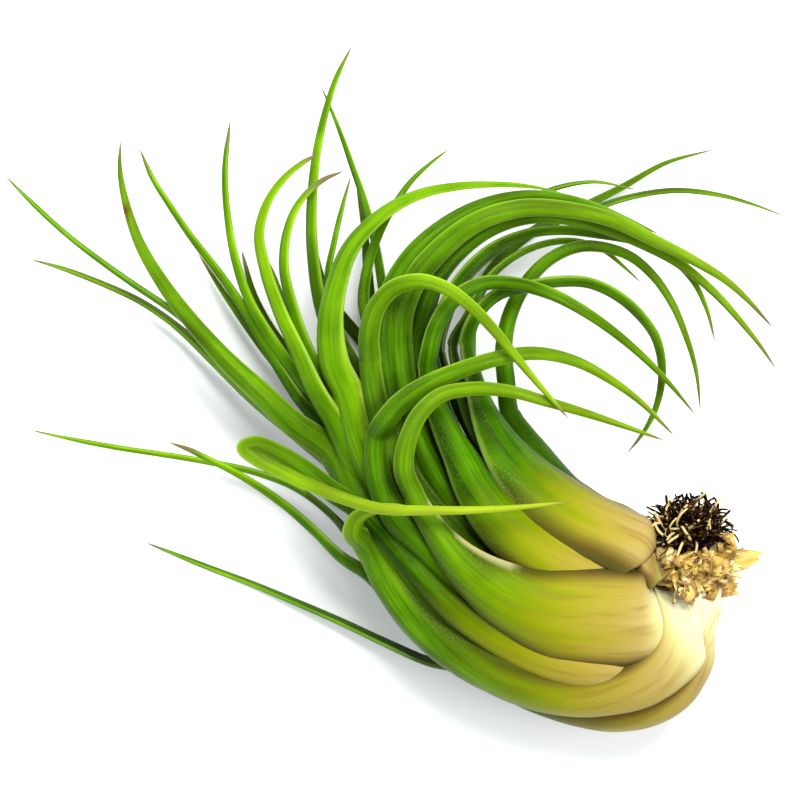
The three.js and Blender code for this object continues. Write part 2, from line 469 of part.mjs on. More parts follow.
// A closed leaf: crescent sections along its middle line, capped at the base and drawn to a point at the tip.
// swell makes it that much fatter all round, to cut its neighbours clear of it.
function leafGeometry(leaf, swell = 0) {
  const line = middleLine(leaf);
  const end = line.knots[line.knots.length - 1];
  const baseEnd = line.knots[line.baseCount - 1];
  const places = swell > 0 ? [-swell, ...sectionPlaces(line)] : sectionPlaces(line);
  const outwardRows = line.outwards.map((v) => v.toArray());
  const baseKnots = line.knots.slice(0, line.baseCount);
  const positions = [];
  let normal = line.outwards[0].clone();
  const push = (v) => positions.push(v.x, v.y, v.z);
  places.forEach((place) => {
    const here = new THREE.Vector3(...along(line.rows, line.knots, place));
    const ahead = new THREE.Vector3(...along(line.rows, line.knots, place + LOOK_AHEAD));
    const heading = ahead.sub(here).normalize();
    const at = Math.max(0, place);
    if (at <= baseEnd) normal = new THREE.Vector3(...along(outwardRows, baseKnots, at));
    normal.addScaledVector(heading, -normal.dot(heading)).normalize();
    const side = new THREE.Vector3().crossVectors(heading, normal);
    const half = halfWidth(leaf, line, at);
    const thick = thicknessOf(half);
    const [radius] = at <= baseEnd ? along(line.radii.map((r) => [r]), baseKnots, at) : [half];
    const channel = Math.min(half * CHANNEL_SHARE, (half * half) / (2 * radius));
    const reach = half + swell + Math.min(3 * swell, EDGE_SHARE * half * Math.sign(swell));
    const put = (u, face) => {
      const across = u * reach;
      const lift = -channel * (across / half) ** 2 + face * (thick / 2 + swell) * (1 - u * u) ** 0.5;
      push(here.clone().addScaledVector(side, across).addScaledVector(normal, lift));
    };
    OUTER_SIDE.forEach((u) => put(u, 1));
    INNER_SIDE.forEach((u) => put(u, -1));
  });
  const tip = new THREE.Vector3(...along(line.rows, line.knots, end));
  const nearTip = new THREE.Vector3(...along(line.rows, line.knots, end - LOOK_AHEAD));
  const tipHeading = tip.clone().sub(nearTip).normalize();
  push(tip.addScaledVector(tipHeading, 2 * swell));
  const sides = OUTER_SIDE.length + INNER_SIDE.length;
  const tipIndex = places.length * sides;
  const index = [];
  for (let i = 0; i < places.length - 1; i += 1) {
    for (let j = 0; j < sides; j += 1) {
      const a = i * sides + j;
      const b = i * sides + ((j + 1) % sides);
      const c = b + sides;
      const d = a + sides;
      if (j < OUTER_SIDE.length - 1) index.push(a, b, c, a, c, d);
      else index.push(a, b, d, b, c, d);
    }
  }
  const top = (places.length - 1) * sides;
  for (let j = 0; j < sides; j += 1) index.push(top + j, top + ((j + 1) % sides), tipIndex);
  [[0, 7, 1], [1, 7, 2], [2, 7, 6], [2, 6, 3], [3, 6, 5], [3, 5, 4]].forEach((t) => index.push(...t));
  const geometry = new THREE.BufferGeometry();
  geometry.setAttribute("position", new THREE.Float32BufferAttribute(positions, 3));
  geometry.setIndex(index);
  return geometry;
}

function toSolid(geometry) {
  const bare = geometry.clone();
  bare.deleteAttribute("normal");
  bare.deleteAttribute("uv");
  const merged = mergeVertices(bare, WELD);
  return new wasm.Manifold(
    new wasm.Mesh({
      numProp: 3,
      vertProperties: merged.attributes.position.array,
      triVerts: new Uint32Array(merged.index.array),
    }),
  );
}

function toGeometry(solid) {
  const mesh = solid.getMesh();
  const geometry = new THREE.BufferGeometry();
  geometry.setAttribute("position", new THREE.Float32BufferAttribute(mesh.vertProperties, 3));
  geometry.setIndex(new THREE.Uint32BufferAttribute(mesh.triVerts, 1));
  return geometry;
}

function largestBody(solid) {
  const bodies = solid.simplify(FINEST).decompose();
  return bodies.sort((a, b) => b.volume() - a.volume())[0];
}

// A closed strand with a four-sided section, for a root or a scrap of an old leaf: it follows a bowed line
// from start to end, and narrows from the first half-width to the second.
function strandGeometry(start, bow, end, widths, thick, swell = 0) {
  const curve = new THREE.QuadraticBezierCurve3(start, bow, end);
  const positions = [];
  for (let i = 0; i < STRAND_RINGS; i += 1) {
    const f = i / (STRAND_RINGS - 1);
    const here = curve.getPoint(f);
    const heading = curve.getTangent(f);
    const side = new THREE.Vector3().crossVectors(UP, heading).normalize();
    const face = new THREE.Vector3().crossVectors(heading, side);
    const half = widths[0] + (widths[1] - widths[0]) * f + swell;
    const deep = thick / 2 + swell;
    [[half, 0], [0, deep], [-half, 0], [0, -deep]].forEach(([a, b]) => {
      const corner = here.clone().addScaledVector(side, a).addScaledVector(face, b);
      positions.push(corner.x, corner.y, corner.z);
    });
  }
  const index = [0, 2, 1, 0, 3, 2];
  for (let i = 0; i < STRAND_RINGS - 1; i += 1) {
    for (let j = 0; j < 4; j += 1) {
      const a = 4 * i + j;
      const b = 4 * i + ((j + 1) % 4);
      index.push(a, b, b + 4, a, b + 4, a + 4);
    }
  }
  const last = 4 * (STRAND_RINGS - 1);
  index.push(last, last + 1, last + 2, last, last + 2, last + 3);
  const geometry = new THREE.BufferGeometry();
  geometry.setAttribute("position", new THREE.Float32BufferAttribute(positions, 3));
  geometry.setIndex(index);
  return geometry;
}

// A round rod through points with a radius at each, capped flat at both ends.
function rodGeometry(points, radii, sides) {
  const positions = [];
  const heading = new THREE.Vector3();
  points.forEach((point, i) => {
    const before = points[Math.max(0, i - 1)];
    const after = points[Math.min(points.length - 1, i + 1)];
    heading.subVectors(after, before).normalize();
    const side = new THREE.Vector3().crossVectors(heading, UP).normalize();
    const face = new THREE.Vector3().crossVectors(heading, side);
    for (let j = 0; j < sides; j += 1) {
      const a = (2 * Math.PI * j) / sides;
      const corner = point.clone().addScaledVector(side, radii[i] * Math.cos(a));
      corner.addScaledVector(face, radii[i] * Math.sin(a));
      positions.push(corner.x, corner.y, corner.z);
    }
  });
  const index = [];
  for (let i = 0; i < points.length - 1; i += 1) {
    for (let j = 0; j < sides; j += 1) {
      const a = sides * i + j;
      const b = sides * i + ((j + 1) % sides);
      index.push(a, b, b + sides, a, b + sides, a + sides);
    }
  }
  const last = sides * (points.length - 1);
  for (let j = 1; j < sides - 1; j += 1) {
    index.push(0, j + 1, j);
    index.push(last, last + j, last + j + 1);
  }
  const geometry = new THREE.BufferGeometry();
  geometry.setAttribute("position", new THREE.Float32BufferAttribute(positions, 3));
  geometry.setIndex(index);
  return geometry;
}

// The same numbers between 0 and 1 every time, in a fixed order.
function seededDraws(seed) {
  let state = seed;
  return () => {
    state = (state + 0x6d2b79f5) | 0;
    let t = Math.imul(state ^ (state >>> 15), 1 | state);
    t = (t + Math.imul(t ^ (t >>> 7), 61 | t)) ^ t;
    return ((t ^ (t >>> 14)) >>> 0) / 4294967296;
  };
}

const joined = (solids) => solids.reduce((sum, solid) => sum.add(solid));

// The stem, from its broken root end to its tip among the youngest leaves.
const rootEnd = new THREE.Vector3(...ROOT_END);
function stemSolid(swell = 0) {
  const stations = [0, 0.6, 1.2, 2, 3, STEM_STATIONS[1]];
  const points = [rootEnd, ...stations.map((station) => axisAt(station).middle)];
  const radii = [STEM_RADIUS * 0.9, ...stations.map((station) => stemRadius(station))].map((r) => r + swell);
  return toSolid(rodGeometry(points, radii, STEM_SIDES));
}

// The level side, and the face across it, of whatever points along a heading.
function crossAxes(heading) {
  const side = new THREE.Vector3().crossVectors(heading, UP).normalize();
  return { side, face: new THREE.Vector3().crossVectors(side, heading) };
}

// The dry roots: a crown seated on the stem's end, with wiry broken roots that curl away all round it.
function rootsSolid(swell = 0) {
  const draw = seededDraws(SEED);
  const out = rootEnd.clone().sub(axisAt(0).middle).normalize();
  const { side, face } = crossAxes(out);
  const crownStart = rootEnd.clone().addScaledVector(out, CLEARANCE - swell);
  const crownEnd = rootEnd.clone().addScaledVector(out, CLEARANCE + ROOT_CROWN_LENGTH);
  const crown = rodGeometry([crownStart, crownEnd], CROWN_RADII.map((r) => r + swell), CROWN_SIDES);
  const solids = [toSolid(crown)];
  for (let i = 0; i < ROOT_COUNT; i += 1) {
    const turn = GOLDEN_ANGLE * i;
    const spread = ROOT_LEANS[0] + (ROOT_LEANS[1] - ROOT_LEANS[0]) * Math.sqrt(i / ROOT_COUNT);
    const lean = THREE.MathUtils.degToRad(spread + 14 * (draw() - 0.5));
    const away = side.clone().multiplyScalar(Math.cos(turn)).addScaledVector(face, Math.sin(turn));
    const heading = out.clone().multiplyScalar(Math.cos(lean)).addScaledVector(away, Math.sin(lean));
    const length = ROOT_LENGTH * (0.5 + 0.5 * draw());
    const start = rootEnd.clone().addScaledVector(out, ROOT_SUNK).addScaledVector(away, CROWN_RADII[1] * 0.6);
    const end = start.clone().addScaledVector(heading, length);
    const bow = start.clone().lerp(end, 0.55).addScaledVector(out, length * 0.2);
    bow.addScaledVector(side, length * 0.7 * (draw() - 0.5));
    bow.addScaledVector(face, length * 0.5 * (draw() - 0.5));
    solids.push(toSolid(strandGeometry(start, bow, end, [ROOT_HALF, ROOT_HALF * 0.8], 2 * ROOT_HALF, swell)));
  }
  return joined(solids);
}

// The old leaf bases: a collar of them wrapped round the stem, and the torn scales that flare from it.
function scalesSolid() {
  const draw = seededDraws(SEED + 1);
  const low = axisAt(COLLAR_START).middle;
  const bend = axisAt(0).middle;
  const high = bend.clone().lerp(rootEnd, COLLAR_REACH);
  const wall = stemRadius(0) + CLEARANCE + COLLAR_WALL;
  const solids = [toSolid(rodGeometry([low, bend, high], [wall, wall + 0.1, wall - 0.1], STEM_SIDES))];
  for (let i = 0; i < SCALE_COUNT; i += 1) {
    const f = (i + 0.5) / SCALE_COUNT;
    const out = rootEnd.clone().sub(f < 0.4 ? low : bend).normalize();
    const { side, face } = crossAxes(out);
    const turn = GOLDEN_ANGLE * i;
    const away = side.clone().multiplyScalar(Math.cos(turn)).addScaledVector(face, Math.sin(turn));
    const around = new THREE.Vector3().crossVectors(out, away);
    const foot = f < 0.5 ? low.clone().lerp(bend, 0.25 + 1.5 * f) : bend.clone().lerp(high, 1.7 * (f - 0.5));
    const start = foot.addScaledVector(away, wall - SCALE_SUNK);
    const lean = THREE.MathUtils.degToRad(SCALE_LEANS[0] + (SCALE_LEANS[1] - SCALE_LEANS[0]) * draw());
    const length = SCALE_LENGTH * (0.45 + 0.3 * draw() + 0.25 * Math.max(0, away.x));
    const end = start.clone().addScaledVector(out, length * Math.cos(lean));
    end.addScaledVector(away, length * Math.sin(lean)).addScaledVector(around, length * 0.5 * (draw() - 0.5));
    const bow = start.clone().lerp(end, 0.5).addScaledVector(away, length * 0.25 * (draw() - 0.3));
    solids.push(toSolid(strandGeometry(start, bow, end, SCALE_HALVES, SCALE_THICKNESS)));
  }
  return joined(solids);
}

// The room each leaf needs: its own shape with the clearance added all round, and a wider one.
const leafRooms = LEAVES.map((leaf) => toSolid(leafGeometry(leaf, CLEARANCE)));
const wideRooms = LEAVES.map((leaf) => toSolid(leafGeometry(leaf, WIDE_CLEARANCE)));

function touches(solid, other) {
  return solid.intersect(other).volume() > 0;
}

// A solid cut clear of the rooms that it would reach into, without the slivers that come off it.
function cutClear(solid, rooms) {
  return largestBody(rooms.reduce((rest, room) => (touches(rest, room) ? rest.subtract(room) : rest), solid));
}

// A solid cut clear of leaves. Where it still meets one, at the crowded neck, the wider room is cut away.
function clearOfLeaves(solid, leaves) {
  const cut = cutClear(solid, leafRooms.slice(0, leaves.length));
  return cutClear(cut, wideRooms.filter((room, i) => i < leaves.length && touches(cut, leaves[i])));
}

// Each leaf's solid, cut clear of the ground, of the stem, and of each leaf before it that it would touch.
function leafSolids() {
  const ground = toSolid(new THREE.BoxGeometry(400, 400, 20).translate(0, 0, -10));
  const stemRoom = stemSolid(CLEARANCE);
  const solids = [];
  LEAVES.forEach((leaf) => {
    const whole = toSolid(leafGeometry(leaf)).subtract(ground);
    solids.push(clearOfLeaves(whole.subtract(stemRoom), solids));
  });
  return solids;
}

const leafMaterial = new THREE.MeshStandardMaterial({ color: "#6f9a1a", roughness: 0.45, metalness: 0 });
const stemMaterial = new THREE.MeshStandardMaterial({ color: "#a58a55", roughness: 0.8, metalness: 0 });
const rootMaterial = new THREE.MeshStandardMaterial({ color: "#2a1a10", roughness: 0.85, metalness: 0 });
const scaleMaterial = new THREE.MeshStandardMaterial({ color: "#c9a25a", roughness: 0.75, metalness: 0 });

const plant = new THREE.Group();

function addPiece(name, solid, material) {
  const mesh = new THREE.Mesh(toGeometry(solid), material);
  mesh.name = name;
  plant.add(mesh);
}

const leaves = leafSolids();
const scales = cutClear(scalesSolid(), [stemSolid(CLEARANCE), rootsSolid(CLEARANCE)]);
addPiece("stem", stemSolid(), stemMaterial);
addPiece("dry_roots", clearOfLeaves(rootsSolid(), leaves), rootMaterial);
addPiece("old_leaf_scales", clearOfLeaves(scales, leaves), scaleMaterial);
leaves.forEach((solid, i) => addPiece(`leaf_${String(i + 1).padStart(2, "0")}`, solid, leafMaterial));

export default plant;
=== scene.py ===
# A sky plant lying on its side on a white table, seen from straight above: the leaves bend round in one
# sweep from a fat pale bulb, and the dry roots and the frayed old leaves stick out of its root end.
# Millimetres are turned to metres as each mesh is made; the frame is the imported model's own.

import math

import bpy
import numpy as np
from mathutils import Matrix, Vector


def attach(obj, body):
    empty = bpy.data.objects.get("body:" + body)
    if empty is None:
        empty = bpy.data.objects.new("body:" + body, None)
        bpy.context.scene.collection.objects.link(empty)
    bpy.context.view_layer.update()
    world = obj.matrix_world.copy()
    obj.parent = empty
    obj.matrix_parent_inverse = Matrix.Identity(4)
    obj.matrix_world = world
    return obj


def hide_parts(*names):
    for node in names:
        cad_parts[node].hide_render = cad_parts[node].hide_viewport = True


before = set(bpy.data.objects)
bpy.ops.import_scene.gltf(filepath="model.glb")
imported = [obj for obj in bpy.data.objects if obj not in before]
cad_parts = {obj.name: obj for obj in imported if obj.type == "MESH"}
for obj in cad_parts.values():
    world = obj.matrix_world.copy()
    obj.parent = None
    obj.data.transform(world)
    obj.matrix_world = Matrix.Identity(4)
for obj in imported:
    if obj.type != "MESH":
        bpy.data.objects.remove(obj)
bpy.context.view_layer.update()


# The table top is a smooth white laminate sheet, wide enough to run out of the picture on every side. The
# plant simply lies on it.

MM = 0.001
TABLE_HALF = 1500.0
TABLE_WHITE = (0.945, 0.957, 0.975)
CLOUD_DIMS = 0.985


def named_mesh(name, corners, faces):
    """A new object at the origin whose mesh holds the corners (in mm, written as metres) and the faces."""
    mesh = bpy.data.meshes.new(name)
    flat = np.asarray(faces, dtype=np.int32)
    mesh.vertices.add(len(corners))
    mesh.vertices.foreach_set("co", (np.asarray(corners, dtype=np.float64) * MM).ravel())
    mesh.loops.add(flat.size)
    mesh.loops.foreach_set("vertex_index", flat.ravel())
    mesh.polygons.add(len(flat))
    mesh.polygons.foreach_set("loop_start", np.arange(len(flat), dtype=np.int32) * flat.shape[1])
    mesh.polygons.foreach_set("use_smooth", np.ones(len(flat), dtype=bool))
    mesh.update(calc_edges=True)
    mesh.validate()
    piece = bpy.data.objects.new(name, mesh)
    bpy.context.scene.collection.objects.link(piece)
    return piece


def feed(tree, made, feeds):
    """Each input of a node, by name or number, gets its value, or a link from its output."""
    for key, value in feeds.items():
        if isinstance(value, bpy.types.NodeSocket):
            tree.links.new(value, made.inputs[key])
        else:
            made.inputs[key].default_value = value


def node(tree, kind, feeds=None, **settings):
    """A node of a kind with its settings and its inputs fed."""
    made = tree.nodes.new(kind)
    for key, value in settings.items():
        setattr(made, key, value)
    feed(tree, made, feeds or {})
    return made


def new_material(name):
    """An empty node material with its surface shader and output: (material, tree, shader)."""
    material = bpy.data.materials.new(name)
    material.use_nodes = True
    tree = material.node_tree
    tree.nodes.clear()
    shader = node(tree, "ShaderNodeBsdfPrincipled")
    node(tree, "ShaderNodeOutputMaterial", {"Surface": shader.outputs["BSDF"]})
    return material, tree, shader


def dress(tree, shader, colour, relief, values):
    """The colour, the relief as (height, strength, depth in metres) and the plain values go to the
    shader."""
    height, strength, depth = relief
    bump = node(tree, "ShaderNodeBump", {"Height": height, "Strength": strength, "Distance": depth})
    feed(tree, shader, {"Base Color": colour, "Normal": bump.outputs[0], **values})


def object_place(tree):
    """The output that gives each point's place on the object, in metres."""
    return node(tree, "ShaderNodeTexCoord").outputs["Object"]


def math_of(tree, operation, a, b=0.0, c=0.0):
    """The output of a math node: operation(a, b, c)."""
    return node(tree, "ShaderNodeMath", {0: a, 1: b, 2: c}, operation=operation).outputs[0]


def times(tree, first, *others):
    """The output of the product of all the factors."""
    for other in others:
        first = math_of(tree, "MULTIPLY", first, other)
    return first


def ramp_of(tree, value, low, high, start=0.0, end=1.0):
    """The output of a smooth step: start below low, end above high, 3t^2 - 2t^3 between."""
    feeds = {"Value": value, "From Min": low, "From Max": high, "To Min": start, "To Max": end}
    return node(tree, "ShaderNodeMapRange", feeds, interpolation_type="SMOOTHSTEP").outputs[0]


def blend_of(tree, share, a, b):
    """The output of a colour mix: a (1 - share) + b share."""
    under, over = ((*c, 1.0) if isinstance(c, tuple) else c for c in (a, b))
    feeds = {0: share, 6: under, 7: over}
    return node(tree, "ShaderNodeMix", feeds, data_type="RGBA", clamp_factor=True).outputs[2]


def noise_of(tree, vector, scale, detail=2.0):
    """The output of a noise texture, 0 to 1 and mostly near 0.5, at a scale along a vector."""
    return node(tree, "ShaderNodeTexNoise", {"Vector": vector, "Scale": scale, "Detail": detail}).outputs[0]


def table_laminate():
    """White laminate: an even white with a faint cloudiness and a fine low orange-peel bump."""
    material, tree, shader = new_material("table_laminate")
    place = object_place(tree)
    clouded = tuple(CLOUD_DIMS * v for v in TABLE_WHITE)
    white = blend_of(tree, noise_of(tree, place, scale=9.0), TABLE_WHITE, clouded)
    peel = noise_of(tree, place, scale=900.0)
    dress(tree, shader, white, (peel, 0.04, 0.0002), {"Roughness": 0.62, "Specular IOR Level": 0.25})
    return material


table_corners = TABLE_HALF * np.array([(-1, -1, 0), (1, -1, 0), (1, 1, 0), (-1, 1, 0)])
table = named_mesh("table_top", table_corners, [(0, 1, 2, 3)])
table.data.materials.append(table_laminate())


# The light is soft daylight from a wide window beyond the top of the picture, in a white room, so the
# shadows are pale, short and bluish and fall towards the bottom of the picture. A weak second lamp stands
# for the light off a wall at the right.

ROOM_WHITE = (0.965, 0.985, 1.0)
ROOM_STRENGTH = 0.93
LAMP_AIM = (-0.02, 0.02, 0.0)
LAMPS = [
    dict(name="window_light", stands=(0.12, 0.48, 0.92), size=0.50, watts=14.0, colour=(1.0, 0.985, 0.95)),
    dict(name="bounce_light", stands=(0.60, -0.10, 0.75), size=0.55, watts=3.5, colour=(1.0, 0.99, 0.97)),
]

scene = bpy.context.scene
scene.view_settings.view_transform = "Standard"
room = bpy.data.worlds.new("white_room")
room.use_nodes = True
scene.world = room
walls = room.node_tree.nodes["Background"]
feed(room.node_tree, walls, {"Color": (*ROOM_WHITE, 1.0), "Strength": ROOM_STRENGTH})
for lamp in LAMPS:
    data = bpy.data.lights.new(lamp["name"], "AREA")
    data.shape = "DISK"
    data.size = lamp["size"]
    data.energy = lamp["watts"]
    data.color = lamp["colour"]
    lit = bpy.data.objects.new(lamp["name"], data)
    scene.collection.objects.link(lit)
    lit.location = lamp["stands"]
    reach = Vector(LAMP_AIM) - lit.location
    lit.rotation_euler = reach.to_track_quat("-Z", "Y").to_euler()


# The camera looks straight down from a metre above the middle of the plant, through a long lens, with the
# top of the picture along +Y.

CAMERA_OVER = (-22.5, 26.25)
CAMERA_HEIGHT = 1.0
VIEW_WIDTH = 108.0
SENSOR = 36.0

eye = bpy.data.cameras.new("camera")
eye.sensor_width = SENSOR
eye.lens = SENSOR * CAMERA_HEIGHT / (VIEW_WIDTH * MM)
camera = bpy.data.objects.new("camera", eye)
scene.collection.objects.link(camera)
camera.location = (CAMERA_OVER[0] * MM, CAMERA_OVER[1] * MM, CAMERA_HEIGHT)
scene.camera = camera


# The plant grows along one bent line, its axis, from the root end to the fan of leaves. The leaf bases wrap
# it in layers and make the bulb, a little flatter than it is wide. The axis has a row
# (x, y, z, half-width of the bulb) at each station 0, 1, 2 and so on.

AXIS = np.array([
    (17.1, 2.8, 13, 4.6), (16.2, -1.2, 12.8, 5.2), (13.6, -3.6, 12.5, 10.3), (10, -4.4, 12.9, 13.7),
    (4.5, -3, 12.85, 15), (-3.2, 0.2, 13.1, 15.7), (-11, 6, 13.1, 15.6), (-17, 13.5, 12.9, 14.5),
    (-21, 22, 12.6, 13), (-23, 31, 12.3, 12), (-23.5, 40, 12, 11),
])
BULB_FLATNESS = 0.86
STEM_RADII = (3.6, 2.0)
STEM_STATIONS = (-0.55, 4.2)
ROOT_END = np.array((16.9, 6.4, 14.6))
STATION_AHEAD = 0.02
UPWARD = np.array((0.0, 0.0, 1.0))


def curve_through(rows, knots, at):
    """Smooth curve through rows at rising knots. With h the knot span, f the share of it and s = f^2
    (3 - 2f): p = (1 - s) a + s b + h (m0 f (1 - f)^2 + m1 f^2 (f - 1)), each m the quadratic fit's slope at
    its knot."""
    rows = np.asarray(rows, dtype=float).reshape(len(rows), -1)
    knots = np.asarray(knots, dtype=float)
    at = np.asarray(at, dtype=float)
    span = np.diff(knots)
    slope = np.diff(rows, axis=0) / span[:, None]
    inner = (slope[:-1] * span[1:, None] + slope[1:] * span[:-1, None]) / (span[:-1] + span[1:])[:, None]
    tangent = np.vstack([slope[:1], inner, slope[-1:]])
    i = np.clip(np.searchsorted(knots, at) - 1, 0, len(span) - 1)
    f = ((at - knots[i]) / span[i])[:, None]
    s = f * f * (3 - 2 * f)
    bend = tangent[i] * f * (1 - f) ** 2 + tangent[i + 1] * f * f * (f - 1)
    return rows[i] * (1 - s) + rows[i + 1] * s + span[i][:, None] * bend


def smooth_step(low, high, v):
    """3t^2 - 2t^3 with t = (v - low) / (high - low), held between 0 and 1."""
    t = np.clip((v - low) / (high - low), 0, 1)
    return t * t * (3 - 2 * t)


def unit(v):
    """v / |v| along the last axis."""
    return v / np.linalg.norm(v, axis=-1, keepdims=True)


def axis_at(station):
    """Middle of the bulb, its half-width, and the level direction to the inner side of the bend:
    (h_y, -h_x, 0), with h the heading of the axis."""
    ends = (station, station + STATION_AHEAD)
    here, ahead = (curve_through(AXIS, np.arange(len(AXIS)), at) for at in ends)
    heading = unit(ahead[:, :2] - here[:, :2])
    inner = np.stack([heading[:, 1], -heading[:, 0], np.zeros(len(here))], axis=1)
    return here[:, :3], here[:, 3], inner


def round_axis(middle, inner, distance, angle):
    """A place round the axis: m + d (i cos a + 0.86 z sin a), with i the inner direction and z up."""
    return middle + distance[..., None] * (
        inner * np.cos(angle)[..., None] + BULB_FLATNESS * UPWARD * np.sin(angle)[..., None])


def stem_radius(station):
    """r0 + (r1 - r0) f^2, with f the share of the stem's length."""
    f = np.clip((station - STEM_STATIONS[0]) / (STEM_STATIONS[1] - STEM_STATIONS[0]), 0, 1)
    return STEM_RADII[0] + (STEM_RADII[1] - STEM_RADII[0]) * f ** 2


# Thirty-nine living leaves: succulent, thick in the middle and thin at the edges. Each starts on the stem
# as a pale sheath that clasps it, follows the bulb, and narrows to a green channelled blade that arches to
# a dry point.

# There is a row for each leaf, in the order of their numbers. A base follows the bulb through (station,
# degrees round it, share of its radius), and a blade runs free through (x, y, z). Half of the base's width
# in degrees is spread, times clasp on the stem, or else hold as (station, degrees). half sets half the
# width of the blade, and taper the power it narrows by. facing is how fast the face turns upwards, and wrap
# the part of the base over which the section stops bending round the stem. green and yellow are tones at
# the base and at the tip, dry is the share of the blade that has dried, pale and neck move the sheath's
# colours along the bulb, paper is a pale strip as (first station, last, edge), and spot is a brown spot as
# (x, y, size).

